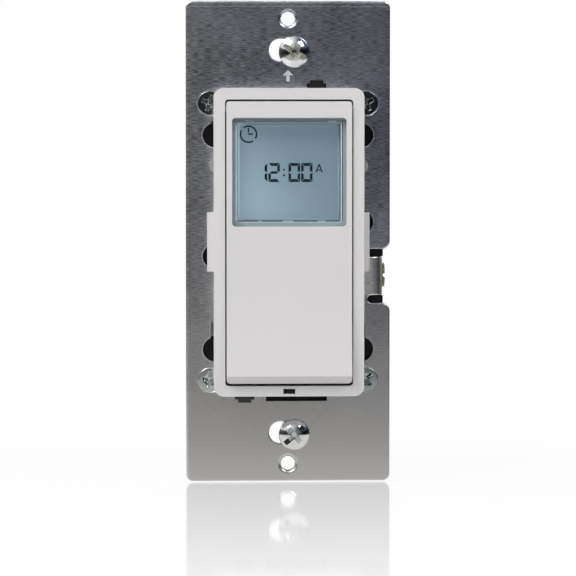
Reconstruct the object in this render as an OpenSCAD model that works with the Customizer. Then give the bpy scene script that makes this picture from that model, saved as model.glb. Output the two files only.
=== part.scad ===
/* [Strap] */
// Width of the mounting strap
strap_w = 44.45; // [43.6:0.05:46]
// Height of the mounting strap
strap_h = 104.5; // [103.5:0.1:108]
// Thickness of the strap sheet
strap_t = 1.5; // [1.2:0.1:1.8]
// Corner radius of the strap
strap_corner_r = 1.5; // [0.5:0.1:3]
// Spacing of the two wallplate screw holes
plate_pitch = 96.84; // [96.4:0.02:97.4]
// Diameter of a wallplate screw hole
plate_hole_d = 3; // [2.6:0.1:3.4]
// Spacing of the two box screw slots
box_pitch = 83.34; // [82.8:0.02:84]
// Length of a box screw slot
slot_len = 8.26; // [7.4:0.02:9.4]
// Width of a box screw slot
slot_w = 4.8; // [4.2:0.1:5.2]
// Width of the bent grounding tab
tab_h = 8.45; // [7.4:0.05:9]
// How far the grounding tab reaches behind the strap
tab_len = 10; // [9.4:0.1:12]

/* [Bezel] */
// Width of the bezel
bezel_w = 32.4; // [32:0.1:33.4]
// Height of the bezel
bezel_h = 66.5; // [66:0.1:67.2]
// Height of the bezel face above the strap face
bezel_rise = 6.6; // [6.2:0.1:7.2]
// Corner radius of the bezel
bezel_corner_r = 2.1; // [1:0.1:3]
// Width of the bezel border at each side
bezel_side = 2.38; // [2.2:0.02:2.6]
// Width of the bezel border at the top
bezel_top = 2.45; // [2.2:0.05:2.7]
// Width of the bezel border at the bottom
bezel_bottom = 2.25; // [2.1:0.05:2.5]

/* [Push pad] */
// Gap between the pad and the bezel at each side
pad_gap = 0.3; // [0.2:0.05:0.4]
// Gap between the pad and the bezel at the bottom
pad_gap_bottom = 0.54; // [0.4:0.02:0.8]
// Height of the pad face above the bezel face
pad_proud = 0.5; // [0.3:0.1:0.7]
// Thickness of the pad plate
pad_t = 1.5; // [1.4:0.05:1.6]
// How much further forward the bottom of the pad stands than its top
pad_flare = 1.6; // [0.6:0.1:1.8]
// Height of the bevel along the bottom edge of the pad
pad_bevel = 1.9; // [1:0.1:2.2]
// Travel of the pad when pressed, in degrees
press_deg = 0.9; // [0.5:0.1:1]
// Radius of a hinge pin
pin_r = 0.5; // [0.4:0.05:0.55]

/* [Display] */
// Width of the window in the pad
window_w = 24.65; // [24:0.05:24.8]
// Height of the window in the pad
window_h = 23.4; // [22.8:0.1:24]
// Distance from the top of the pad to the window
window_drop = 3.64; // [3.3:0.02:4]
// Width of the display glass
lcd_w = 22.2; // [21.4:0.1:22.3]
// Height of the display glass
lcd_h = 21.2; // [20:0.1:21.4]

/* [Keys] */
// Width of a setting key
key_w = 8.4; // [7:0.1:8.8]
// Height of a setting key
key_h = 5.6; // [4.6:0.1:6]
// Travel of a setting key
key_travel = 0.4; // [0.2:0.05:0.45]

/* [Housing] */
// Width of the housing rim behind the strap
rim_w = 41.6; // [41:0.1:42.2]
// Height of the housing rim behind the strap
rim_h = 70.4; // [70:0.1:72]
// Width of the housing body
body_w = 33; // [32.6:0.1:33.4]
// Height of the housing body
body_h = 66; // [65.4:0.1:66.6]
// Depth of the housing behind the strap
body_depth = 30; // [29:0.5:34]
// Wall of the housing
wall_t = 1.6; // [1.4:0.1:1.8]

/* [Box screws] */
// Diameter of a box screw thread
box_screw_d = 3.44; // [3.2:0.02:3.6]
// Diameter of a box screw head
box_head_d = 6.8; // [6.4:0.1:7.6]
// Reach of a box screw behind the strap
box_screw_len = 22; // [16:1:28]
// How far a box screw hangs below the middle of its slot
box_sag = 0.5; // [0:0.1:0.7]
// Place of a box screw along its slot
box_screw_x = 1.35; // [-2:0.05:2]

/* [Hidden] */
$fn = 64;

// Small distances shared by the fits
cut = 0.5;
slip = 0.05;
run_gap = 0.06;
move_gap = 0.25;

// Planes of the front, counted back from the strap's rear face
strap_face = -strap_t;
bezel_face = strap_face - bezel_rise;
pad_face = bezel_face - pad_proud;
pad_back = pad_face + pad_t;
pad_lip = pad_face - pad_flare;

// Opening of the bezel and the pad inside it
open_half = bezel_w / 2 - bezel_side;
open_top = bezel_h / 2 - bezel_top;
open_bottom = -bezel_h / 2 + bezel_bottom;
pad_half = open_half - pad_gap;
pad_top = open_top - pad_gap;
pad_bottom = open_bottom + pad_gap_bottom;
pad_mid = (pad_top + pad_bottom) / 2;
pad_h = pad_top - pad_bottom;
pad_corner_r = 0.8;
skirt_t = 0.9;
skirt_len = 1.5;
skirt_back = pad_back + skirt_len;
top_round = 1.3;
flare_len = 25;
flare_r = (pow(flare_len, 2) + pow(pad_flare, 2)) / (2 * pad_flare);
flare_steps = 1440;
bevel_slope = 1;
bevel_depth = bevel_slope * pad_bevel;

// Hinge of the pad
hinge_drop = 1.7;
hinge_inset = 0.1;
hinge_z = pad_top - hinge_drop;
hinge_y = pad_back + hinge_inset;
boss_r = 1.45;
pin_bore_r = pin_r + run_gap;
pin_seat_depth = 1.1;
knuckle_r = 1;
arm_in = 11.45;
arm_w = 0.95;
arm_out = arm_in + arm_w;
pin_stub = 0.25;
pin_inner = arm_in - pin_stub;

// Window and display
window_top = pad_top - window_drop;
window_mid = window_top - window_h / 2;
window_corner_r = 0.85;
ledge_t = 0.6;
ledge_w = 0.2;
lens_recess = 0.2;
rib_side_gap = 0.3;
rib_over = 0.2;
lens_rib_w = 2 * (arm_in - rib_side_gap);
lens_rib_h = lcd_h + 2 * rib_over;
lens_rib_t = 0.5;
lens_rib_len = 0.7;
cover_rise = 2.7;
cover_face = strap_face - cover_rise;
cover_t = 1.2;
cover_back = cover_face + cover_t;
board_gap = 2;
board_face = cover_back + board_gap;
board_t = 1.2;
board_back = board_face + board_t;
lcd_proud = 1;
lcd_sink = 0.8;
lcd_face = cover_face - lcd_proud;
lcd_back = cover_face + lcd_sink;
lcd_frame_t = 0.4;
lcd_frame_w = 0.5;
strip_t = 1.8;
strip_inset = 1.1;
strip_w = lcd_w - 2 * strip_inset;
strip_z = lcd_h / 2 - strip_t / 2;
guide_h = lcd_h - 2 * strip_t - 2 * move_gap;

// Tower of the front cover and the board inside it
tower_w = 26.6;
tower_h = 60.6;
tower_wall = 1.2;
tower_corner_r = 1;
flange_t = 1.5;
flange_corner_r = 2.5;
cavity_w = tower_w - 2 * tower_wall;
cavity_h = tower_h - 2 * tower_wall;
board_edge_gap = 0.3;
board_w = cavity_w - 2 * board_edge_gap;
board_h = cavity_h - 2 * board_edge_gap;
post_r = 1.3;
post_x = 10.1;
post_top_z = 27.3;
post_low_z = -19.4;
post_screw_r = 0.8;
post_head_r = 1.4;
post_head_t = 0.7;
post_screw_len = 1.9;

// Setting keys
key_x = 5.6;
key_upper_z = -5;
key_lower_z = -13.5;
key_gap = 0.2;
key_corner_r = 0.8;
key_rise = 1.4;
key_face = cover_face - key_rise;
key_lip = 0.55;
key_lip_t = 0.5;
key_lip_gap = 0.15;
key_lip_face = cover_back + key_lip_gap;
key_lip_back = key_lip_face + key_lip_t;
key_body_w = 5.2;
key_body_h = 3.8;
key_body_t = 0.75;
stem_r = 0.9;
stop_gap = 0.1;
stem_back = board_face - key_travel - stop_gap;

// Switch worked by the pad
press_z = -25;
press_arm = hinge_z - press_z;
press_travel = press_arm * press_deg * PI / 180;
yoke_gap = 0.3;
yoke_face = pad_back + yoke_gap;
yoke_t = 1.2;
arm_drop = 0.3;
yoke_back = yoke_face + yoke_t;
bar_half_h = 1.6;
plunger_r = 1.4;
plunger_tip = yoke_back + slip;
plunger_back = board_face - press_travel - stop_gap;
load_body_w = 7;
load_body_h = 5.8;
load_body_t = 1.6;
leg_x = 6.5;
leg_w = 1.2;
leg_h = 1.4;
barb_h = 0.6;
barb_t = 0.6;
barb_gap = 0.1;
barb_face = cover_back + barb_gap;

// Strap openings
strap_open_gap = 0.5;
strap_open_half = tower_w / 2 + strap_open_gap;
strap_open_half_h = tower_h / 2 + strap_open_gap;
lobe_r = 2.6;
lobe_x = 15.9;
lobes = [[-1, 23.15], [1, 23.15], [-1, -3.2], [1, 4.2], [-1, -23.5], [1, -23.5]];
relief_half = 16.75;
relief_low = -23.5;
relief_high = -17.5;
corner_x = 17;
corner_z = 30.1;
corner_head_r = 2.75;
corner_shank_r = 1.45;
corner_head_t = 1.3;
corner_len = 13;
corner_pass = 0.2;
cross_span = 3;
cross_w = 0.7;
cross_t = 0.8;
countersink_r = 2;
countersink_t = 0.5;
notch_top = -1.65;
tab_relief = 1.65;
notch_h = tab_h + 2 * tab_relief;
notch_x = 17.4;
notch_corner_r = 1.8;
bend_x = 18.2;
bend_r = 1;
tab_top = notch_top - tab_relief;
tab_mid = tab_top - tab_h / 2;
tab_face = bend_x + bend_r + strap_t;
ground_y = 5.8;
ground_r = 1.85;
ground_head_r = 2.65;
ground_head_t = 0.8;
ground_slot_w = 0.8;
ground_slot_t = 0.45;
ground_tip_gap = 0.4;
ground_tip = body_w / 2 + ground_tip_gap;

// Clip hooks and the slots they reach through
top_hook_x = 6.2;
low_hook_x = -9.46;
hook_slot_w = 4.17;
hook_w = 3.75;
hook_nose_w = 2.8;
hook_nose_t = 0.6;
hook_slot_in = 32.4;
hook_in = 33.3;
hook_slot_out = 34.4;
hook_out = 34.2;
hook_nose_out = 35.05;
pipe_slot_x0 = -4.8;
pipe_slot_x1 = 8.5;
pipe_slot_top = -31.2;
pipe_slot_low = -34.8;
clip_t = 0.8;
clip_h = 2.6;
clip_barb = 0.5;
clip_barb_t = 0.8;
clip_rows = [23.15, -23.5];
ear_half_h = 6.4;
ear_out = 17.6;
ear_rise = 2.6;
bump_out = 17.15;
bump_z = 16.5;
bump_r = 1.95;
bump_rise = 4.6;

// Light pipe of the locator light
pipe_w = 2.5;
pipe_h = 1;
pipe_edge = 1.1;
pipe_reach = 1.9;
pipe_z = -bezel_h / 2 + pipe_edge;
pipe_face = bezel_face + slip;
pipe_back = flange_t + pipe_reach;
led_r = 1.5;
led_z = -29.4;
led_foot_r = 1.9;
led_foot_t = 1;

// Housing and the power board in it
rim_back = 4;
rim_corner_r = 2.5;
body_corner_r = 2;
inner_w = body_w - 2 * wall_t;
inner_h = body_h - 2 * wall_t;
floor_y = body_depth - wall_t;
power_face = 8;
power_t = 1.6;
power_back = power_face + power_t;
power_side_gap = 0.3;
power_end_gap = 0.4;
power_w = inner_w - 2 * power_side_gap;
power_h = inner_h - 2 * power_end_gap;
rib_z = 17.5;
rib_h = 3;
rib_in = 12.9;
boss_len = 13.6;
boss_outer_r = 3;
fin_t = 1;
fin_mid = 4.9;
fin_inset = 0.2;
fin_out = rim_w / 2 - fin_inset;
fin_end = 19;
label_w = 20;
label_h = 30;
label_depth = 0.4;
label_corner_r = 1;

// Terminals
terminal_y = 13.4;
line_z = 9;
load_z = -9;
neutral_z = 12;
terminal_w = 7.4;
terminal_len = 7;
terminal_t = 1;
clamp_t = 1;
clamp_w = 7;
clamp_len = 6.6;
terminal_screw_r = 2;
terminal_head_r = 3.3;
terminal_head_t = 1.6;
tongue_w = 3;
tongue_t = 0.9;
tongue_len = 2.2;
tongue_in = inner_w / 2 - tongue_len;

// Screws that hold the switch to the wall box
top_screw_z = box_pitch / 2 - box_sag;
low_screw_z = -box_pitch / 2 - box_sag;
washer_d = 6;
washer_t = 0.8;
box_rim_t = 0.45;
box_dome_t = 1.55;
neck_step = 0.225;
neck_r = box_screw_d / 2 - neck_step;
neck_end = washer_t + 3 * slip;
top_slot_turn = 30;
low_slot_turn = -42;
driver_w = 1;
driver_t = 0.8;

// Places of the parts on the control board, as x and z
chip_size = [7, 1.2, 7];
chip_at = [0, -8];
crystal_size = [2.2, 2.2, 6];
crystal_at = [7.1, -8];
cell_r = 6;
cell_t = 3.2;
cell_z = 12;
header_w = 16;
header_h = 2.6;
header_z = -23.7;

// Places of the parts on the power board, as x and z
relay_size = [15, 15, 19];
relay_at = [-4.5, 11.5];
film_size = [6, 12, 18];
film_at = [8.4, 11.5];
electro_r = 4;
electro_h = 12;
electro_at = [[-7, -20], [2, -20]];
choke_r = 4.2;
choke_h = 9;
choke_at = [-7, -7];
varistor_r = 4.5;
varistor_t = 3.6;
varistor_flat = 0.4;
varistor_at = [6, -8];

// A flat outline in x and z, given depth from y0 back to y1
module slab(y0, y1) {
    translate([0, y1, 0])
        rotate([90, 0, 0])
            linear_extrude(y1 - y0)
                children();
}

// A flat outline in y and z, given width from x0 to x1
module profile(x0, x1) {
    translate([x0, 0, 0])
        rotate([90, 0, 90])
            linear_extrude(x1 - x0)
                children();
}

// A box between two corners
module block(x0, x1, y0, y1, z0, z1) {
    translate([x0, y0, z0])
        cube([x1 - x0, y1 - y0, z1 - z0]);
}

// A round bar from front to back
module rod_y(x, z, r, y0, y1) {
    translate([x, y0, z])
        rotate([-90, 0, 0])
            cylinder(r = r, h = y1 - y0);
}

// A round bar from left to right
module rod_x(y, z, r, x0, x1) {
    translate([x0, y, z])
        rotate([0, 90, 0])
            cylinder(r = r, h = x1 - x0);
}

// A rectangle with round corners, about its middle
module round_rect(w, h, r) {
    square([w - 2 * r, h], center = true);
    square([w, h - 2 * r], center = true);
    for (sx = [-1, 1], sz = [-1, 1])
        translate([sx * (w / 2 - r), sz * (h / 2 - r)])
            circle(r = r);
}

// The children and their mirror image at the other side
module both_sides() {
    children();
    mirror([1, 0, 0])
        children();
}

// The waste outside a round corner that points right and up
module corner_waste(r) {
    difference() {
        square(r + cut);
        circle(r = r);
    }
}

// A slot with round ends, along x
module slot_outline(length, width) {
    square([length - width, width], center = true);
    for (sx = [-1, 1])
        translate([sx * (length - width) / 2, 0])
            circle(d = width);
}

// Two crossed driver slots, cut back from y0
module cross_recess(x, z, y0, span, width, depth) {
    for (turn = [0, 90])
        translate([x, y0, z])
            rotate([0, turn, 0])
                translate([-span / 2, -cut, -width / 2])
                    cube([span, depth + cut, width]);
}

// The strap's big opening with its round lobes
module strap_opening() {
    square([2 * strap_open_half, 2 * strap_open_half_h], center = true);
    for (lobe = lobes)
        translate([lobe[0] * lobe_x, lobe[1]])
            circle(r = lobe_r);
    translate([-relief_half, relief_low])
        square([2 * relief_half, relief_high - relief_low]);
}

// The notch that the grounding tab is bent out of
module tab_notch() {
    edge = strap_w / 2;
    translate([bend_x, notch_top - notch_h])
        square([edge - bend_x + cut, notch_h]);
    for (z = [notch_top - tab_relief / 2, notch_top - notch_h + tab_relief / 2]) {
        translate([notch_x + tab_relief / 2, z])
            circle(d = tab_relief);
        translate([notch_x + tab_relief / 2, z - tab_relief / 2])
            square([edge - notch_x, tab_relief]);
    }
    translate([edge - notch_corner_r, notch_top + notch_corner_r])
        mirror([0, 1])
            corner_waste(notch_corner_r);
    translate([edge - notch_corner_r, notch_top - notch_h - notch_corner_r])
        corner_waste(notch_corner_r);
}

// The bent tab that takes the grounding screw
module ground_tab() {
    block(bend_x - cut, bend_x, strap_face, 0, tab_top - tab_h, tab_top);
    translate([bend_x, bend_r, tab_top - tab_h])
        rotate([0, 0, -90])
            rotate_extrude(angle = 90)
                translate([bend_r, 0])
                    square([strap_t, tab_h]);
    difference() {
        block(bend_x + bend_r, tab_face, bend_r, tab_len, tab_top - tab_h, tab_top);
        rod_x(ground_y, tab_mid, ground_r + slip, bend_x, tab_face + cut);
    }
}

module mounting_strap() {
    color([0.55, 0.56, 0.58]) {
        difference() {
            slab(strap_face, 0)
                difference() {
                    round_rect(strap_w, strap_h, strap_corner_r);
                    strap_opening();
                    for (side = [-1, 1]) {
                        translate([0, side * box_pitch / 2])
                            slot_outline(slot_len, slot_w);
                        translate([0, side * plate_pitch / 2])
                            circle(d = plate_hole_d);
                    }
                    for (sx = [-1, 1], sz = [-1, 1])
                        translate([sx * corner_x, sz * corner_z])
                            circle(r = corner_shank_r + corner_pass);
                    translate([top_hook_x - hook_slot_w / 2, hook_slot_in])
                        square([hook_slot_w, hook_slot_out - hook_slot_in]);
                    translate([low_hook_x - hook_slot_w / 2, -hook_slot_out])
                        square([hook_slot_w, hook_slot_out - hook_slot_in]);
                    translate([pipe_slot_x0, pipe_slot_low])
                        square([pipe_slot_x1 - pipe_slot_x0, pipe_slot_top - pipe_slot_low]);
                    tab_notch();
                }
            for (sx = [-1, 1], sz = [-1, 1])
                translate([sx * corner_x, strap_face, sz * corner_z])
                    rotate([-90, 0, 0])
                        cylinder(r1 = corner_head_r + slip, r2 = corner_shank_r + slip, h = corner_head_t);
            for (side = [-1, 1])
                translate([0, strap_face, side * plate_pitch / 2])
                    rotate([-90, 0, 0])
                        cylinder(r1 = countersink_r, r2 = plate_hole_d / 2, h = countersink_t);
        }
        ground_tab();
    }
}

module bezel_frame() {
    color([0.93, 0.93, 0.92]) {
        difference() {
            union() {
                slab(bezel_face, strap_face)
                    round_rect(bezel_w, bezel_h, bezel_corner_r);
                block(-ear_out, ear_out, strap_face - ear_rise, strap_face, -ear_half_h, ear_half_h);
                both_sides()
                    rod_y(bump_out - bump_r, bump_z, bump_r, strap_face - bump_rise, strap_face);
            }
            slab(bezel_face - cut, strap_face + cut)
                translate([0, (open_top + open_bottom) / 2])
                    round_rect(2 * open_half, open_top - open_bottom, pad_corner_r);
            block(-pipe_w / 2 - slip, pipe_w / 2 + slip, bezel_face - cut, strap_face + cut,
                pipe_z - pipe_h / 2 - slip, pipe_z + pipe_h / 2 + slip);
            both_sides()
                rod_x(hinge_y, hinge_z, pin_r, open_half - cut, open_half + pin_seat_depth);
        }
        both_sides()
            for (z = clip_rows) {
                block(open_half, open_half + clip_t, strap_face, flange_t + clip_barb_t,
                    z - clip_h / 2, z + clip_h / 2);
                block(open_half - clip_barb, open_half, flange_t, flange_t + clip_barb_t,
                    z - clip_h / 2, z + clip_h / 2);
            }
    }
}

// A hook of the front cover that reaches up through the strap
module strap_hook(x) {
    block(x - hook_w / 2, x + hook_w / 2, strap_face - hook_nose_t, cut,
        hook_in, hook_out);
    block(x - hook_nose_w / 2, x + hook_nose_w / 2, strap_face - hook_nose_t, strap_face,
        hook_out, hook_nose_out);
}

module front_cover() {
    color([0.07, 0.07, 0.07])
        difference() {
            union() {
                slab(0, flange_t)
                    round_rect(rim_w, rim_h, flange_corner_r);
                slab(cover_face, cut)
                    round_rect(tower_w, tower_h, tower_corner_r);
                strap_hook(top_hook_x);
                mirror([0, 0, 1])
                    strap_hook(low_hook_x);
                both_sides()
                    for (z = [-rib_z, rib_z])
                        block(rib_in, power_w / 2, 0, power_face, z - rib_h / 2, z + rib_h / 2);
            }
            difference() {
                slab(cover_back, flange_t + cut)
                    square([cavity_w, cavity_h], center = true);
                for (sx = [-1, 1], z = [post_top_z, post_low_z])
                    rod_y(sx * post_x, z, post_r, cover_back - cut, board_face);
            }
            for (sx = [-1, 1], z = [post_top_z, post_low_z])
                rod_y(sx * post_x, z, post_screw_r, board_face - post_screw_len, board_face + cut);
            slab(cover_face - cut, cover_back + cut)
                translate([0, window_mid])
                    square([lcd_w + 2 * slip, lcd_h + 2 * slip], center = true);
            slab(cover_face - cut, cover_back + cut)
                for (sx = [-1, 1], z = [key_upper_z, key_lower_z])
                    translate([sx * key_x, z])
                        round_rect(key_w + 2 * key_gap, key_h + 2 * key_gap, key_corner_r + key_gap);
            rod_y(0, press_z, plunger_r + run_gap, cover_face - cut, cover_back + cut);
            both_sides()
                block(leg_x - leg_w / 2 - move_gap, leg_x + leg_w / 2 + move_gap,
                    cover_face - cut, cover_back + cut,
                    press_z - leg_h / 2 - move_gap, press_z + leg_h / 2 + move_gap);
            for (sx = [-1, 1], sz = [-1, 1])
                rod_y(sx * corner_x, sz * corner_z, corner_shank_r + corner_pass, -cut, flange_t + cut);
            both_sides()
                for (z = clip_rows)
                    block(open_half - slip, open_half + clip_t + slip, -cut, flange_t + cut,
                        z - clip_h / 2 - slip, z + clip_h / 2 + slip);
            block(-pipe_w / 2 - slip, pipe_w / 2 + slip, -cut, flange_t + cut,
                pipe_z - pipe_h / 2 - slip, pipe_z + pipe_h / 2 + slip);
            tab_clearance();
            washer_room();
        }
}

// Space kept free for the washers of the box screws
module washer_room() {
    for (z = [top_screw_z, low_screw_z])
        block(-(slot_len + washer_d) / 2, (slot_len + washer_d) / 2, -cut, flange_t + cut,
            z - washer_d / 2 - move_gap, z + washer_d / 2 + move_gap);
}

// Space kept free round the grounding tab
module tab_clearance() {
    block(bend_x - move_gap, rim_w / 2 + cut, -cut, rim_back + cut,
        tab_top - tab_h - slip, tab_top + slip);
}

// Two barriers beside a terminal on the right-hand side
module terminal_fins(z) {
    for (side = [-1, 1])
        block(body_w / 2 - cut, fin_out, rim_back - cut, fin_end,
            z + side * fin_mid - fin_t / 2, z + side * fin_mid + fin_t / 2);
}

// Slot in the right-hand wall that a terminal's tongue passes through
module tongue_slot(z) {
    block(inner_w / 2 - cut, body_w / 2 + cut, power_back, power_back + tongue_t + slip,
        z - tongue_w / 2 - slip, z + tongue_w / 2 + slip);
}

module back_housing() {
    color([0.07, 0.07, 0.07]) {
        difference() {
            union() {
                slab(flange_t, rim_back)
                    round_rect(rim_w, rim_h, rim_corner_r);
                slab(flange_t, body_depth)
                    round_rect(body_w, body_h, body_corner_r);
                intersection() {
                    slab(flange_t, boss_len)
                        square([rim_w, rim_h], center = true);
                    for (sx = [-1, 1], sz = [-1, 1])
                        rod_y(sx * corner_x, sz * corner_z, boss_outer_r, flange_t, boss_len);
                }
                terminal_fins(neutral_z);
                mirror([1, 0, 0]) {
                    terminal_fins(line_z);
                    terminal_fins(load_z);
                }
            }
            slab(flange_t - cut, floor_y)
                square([inner_w, inner_h], center = true);
            for (sx = [-1, 1], sz = [-1, 1])
                rod_y(sx * corner_x, sz * corner_z, corner_shank_r + slip, flange_t - cut,
                    corner_len + corner_pass);
            block(-pipe_w / 2 - slip, pipe_w / 2 + slip, flange_t - cut, pipe_back + slip,
                pipe_z - pipe_h / 2 - slip, -inner_h / 2 + cut);
            tongue_slot(neutral_z);
            mirror([1, 0, 0]) {
                tongue_slot(line_z);
                tongue_slot(load_z);
            }
            tab_clearance();
            slab(body_depth - label_depth, body_depth + cut)
                round_rect(label_w, label_h, label_corner_r);
        }
        both_sides()
            for (z = [-rib_z, rib_z])
                block(rib_in, inner_w / 2, power_back, floor_y, z - rib_h / 2, z + rib_h / 2);
    }
}

module housing_screws() {
    color([0.6, 0.61, 0.63])
        for (sx = [-1, 1], sz = [-1, 1])
            difference() {
                union() {
                    translate([sx * corner_x, strap_face + slip, sz * corner_z])
                        rotate([-90, 0, 0])
                            cylinder(r1 = corner_head_r, r2 = corner_shank_r, h = corner_head_t);
                    rod_y(sx * corner_x, sz * corner_z, corner_shank_r, strap_face + corner_head_t,
                        corner_len);
                }
                cross_recess(sx * corner_x, sz * corner_z, strap_face + slip, cross_span, cross_w, cross_t);
            }
}

module ground_screw() {
    color([0.45, 0.55, 0.2])
        difference() {
            union() {
                rod_x(ground_y, tab_mid, ground_r, ground_tip, tab_face + cut);
                rod_x(ground_y, tab_mid, ground_head_r, tab_face, tab_face + ground_head_t);
            }
            block(tab_face + ground_head_t - ground_slot_t, tab_face + ground_head_t + cut,
                ground_y - ground_head_r, ground_y + ground_head_r,
                tab_mid - ground_slot_w / 2, tab_mid + ground_slot_w / 2);
        }
}

module hinge_pins() {
    color([0.75, 0.75, 0.76])
        both_sides()
            rod_x(hinge_y, hinge_z, pin_r, pin_inner, open_half + pin_seat_depth);
}

// The pad seen from its side
module pad_profile() {
    difference() {
        union() {
            translate([pad_face, pad_bottom + flare_len])
                square([pad_t, pad_h - flare_len]);
            difference() {
                translate([pad_lip, pad_bottom])
                    square([pad_back - pad_lip, flare_len]);
                translate([pad_face - flare_r, pad_bottom + flare_len])
                    circle(r = flare_r, $fn = flare_steps);
            }
            translate([pad_back - cut, pad_bottom])
                square([skirt_back - pad_back + cut, hinge_z - pad_bottom]);
            translate([hinge_y, hinge_z])
                circle(r = boss_r);
        }
        translate([pad_face + top_round, pad_top - top_round])
            mirror([1, 0])
                corner_waste(top_round);
        translate([pad_lip, pad_bottom])
            polygon([[-cut, -cut], [bevel_depth, -cut], [bevel_depth, 0], [0, pad_bevel],
                [-cut, pad_bevel]]);
    }
}

module push_pad() {
    color([0.94, 0.94, 0.93])
        difference() {
            intersection() {
                profile(-pad_half, pad_half)
                    pad_profile();
                slab(pad_lip - cut, skirt_back + cut)
                    translate([0, pad_mid])
                        round_rect(2 * pad_half, pad_h, pad_corner_r);
            }
            block(skirt_t - pad_half, pad_half - skirt_t, pad_back, skirt_back + cut,
                pad_bottom + skirt_t, pad_top + cut);
            slab(pad_face - cut, pad_back + cut)
                translate([0, window_mid])
                    round_rect(window_w, window_h, window_corner_r);
            slab(pad_face + ledge_t, pad_back + cut)
                translate([0, window_mid])
                    round_rect(window_w + 2 * ledge_w, window_h + 2 * ledge_w, window_corner_r + ledge_w);
            both_sides() {
                rod_x(hinge_y, hinge_z, pin_bore_r, pin_inner - move_gap, pad_half + cut);
                rod_x(hinge_y, hinge_z, knuckle_r + move_gap, arm_in - move_gap, pad_half - skirt_t);
            }
        }
}

module window_lens() {
    color([0.6, 0.68, 0.72, 0.5])
        difference() {
            union() {
                slab(pad_face + lens_recess, pad_back)
                    translate([0, window_mid])
                        round_rect(window_w - 2 * slip, window_h - 2 * slip, window_corner_r - slip);
                slab(pad_face + ledge_t, pad_back)
                    translate([0, window_mid])
                        round_rect(window_w + 2 * ledge_w - 2 * slip, window_h + 2 * ledge_w - 2 * slip,
                            window_corner_r + ledge_w - slip);
                slab(pad_back - cut, pad_back + lens_rib_len)
                    translate([0, window_mid])
                        square([lens_rib_w, lens_rib_h], center = true);
            }
            slab(pad_back, pad_back + lens_rib_len + cut)
                translate([0, window_mid])
                    square([lens_rib_w - 2 * lens_rib_t, lens_rib_h - 2 * lens_rib_t], center = true);
        }
}

module press_yoke() {
    color([0.85, 0.85, 0.84])
        difference() {
            union() {
                both_sides() {
                    rod_x(hinge_y, hinge_z, knuckle_r, arm_in, arm_out);
                    block(arm_in, arm_out, yoke_face, yoke_back, press_z - bar_half_h, hinge_z - arm_drop);
                    block(leg_x - leg_w / 2, leg_x + leg_w / 2, yoke_back - cut, barb_face + barb_t,
                        press_z - leg_h / 2, press_z + leg_h / 2);
                    block(leg_x - leg_w / 2, leg_x + leg_w / 2, barb_face, barb_face + barb_t,
                        press_z - leg_h / 2 - barb_h, press_z - leg_h / 2 + cut);
                }
                block(-arm_out, arm_out, yoke_face, yoke_back, press_z - bar_half_h, press_z + bar_half_h);
            }
            both_sides()
                rod_x(hinge_y, hinge_z, pin_bore_r, pin_inner - cut, arm_out + cut);
        }
}

module load_switch() {
    color([0.12, 0.12, 0.12])
        difference() {
            block(-load_body_w / 2, load_body_w / 2, board_face - load_body_t, board_face,
                press_z - load_body_h / 2, press_z + load_body_h / 2);
            rod_y(0, press_z, plunger_r + run_gap, board_face - load_body_t - cut, board_face + cut);
        }
}

module load_plunger() {
    color([0.8, 0.78, 0.7])
        rod_y(0, press_z, plunger_r, plunger_tip, plunger_back);
}

module lcd_glass() {
    color([0.55, 0.63, 0.66])
        slab(lcd_face, lcd_back)
            translate([0, window_mid])
                square([lcd_w, lcd_h], center = true);
}

module lcd_bezel() {
    color([0.5, 0.56, 0.6])
        slab(lcd_face - lcd_frame_t, lcd_face)
            translate([0, window_mid])
                difference() {
                    square([lcd_w, lcd_h], center = true);
                    square([lcd_w - 2 * lcd_frame_w, lcd_h - 2 * lcd_frame_w], center = true);
                }
}

module backlight_guide() {
    color([0.85, 0.88, 0.9])
        slab(lcd_back, board_face)
            translate([0, window_mid])
                square([lcd_w - 2 * tower_wall, guide_h], center = true);
}

module lcd_connectors() {
    color([0.85, 0.45, 0.55])
        for (side = [-1, 1])
            slab(lcd_back, board_face)
                translate([0, window_mid + side * strip_z])
                    square([strip_w, strip_t], center = true);
}

module control_board() {
    color([0.08, 0.3, 0.16])
        difference() {
            slab(board_face, board_back)
                square([board_w, board_h], center = true);
            for (sx = [-1, 1], z = [post_top_z, post_low_z])
                rod_y(sx * post_x, z, post_screw_r + slip, board_face - cut, board_back + cut);
        }
}

module board_screws() {
    color([0.7, 0.7, 0.72])
        for (sx = [-1, 1], z = [post_top_z, post_low_z]) {
            rod_y(sx * post_x, z, post_screw_r - slip, board_face - post_screw_len + slip,
                board_back + slip);
            rod_y(sx * post_x, z, post_head_r, board_back, board_back + post_head_t);
        }
}

// A part with square sides that stands on the rear of a board
module box_part(board_y, at, size) {
    block(at[0] - size[0] / 2, at[0] + size[0] / 2, board_y, board_y + size[1],
        at[1] - size[2] / 2, at[1] + size[2] / 2);
}

module microcontroller() {
    color([0.1, 0.1, 0.11])
        box_part(board_back, chip_at, chip_size);
}

module clock_crystal() {
    color([0.75, 0.75, 0.76])
        box_part(board_back, crystal_at, crystal_size);
}

module backup_cell() {
    color([0.75, 0.75, 0.74])
        rod_y(0, cell_z, cell_r, board_back, board_back + cell_t);
}

module key_switches() {
    color([0.12, 0.12, 0.12])
        for (sx = [-1, 1], z = [key_upper_z, key_lower_z])
            difference() {
                block(sx * key_x - key_body_w / 2, sx * key_x + key_body_w / 2,
                    board_face - key_body_t, board_face, z - key_body_h / 2, z + key_body_h / 2);
                rod_y(sx * key_x, z, stem_r + run_gap, board_face - key_body_t - cut, board_face + cut);
            }
}

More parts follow.
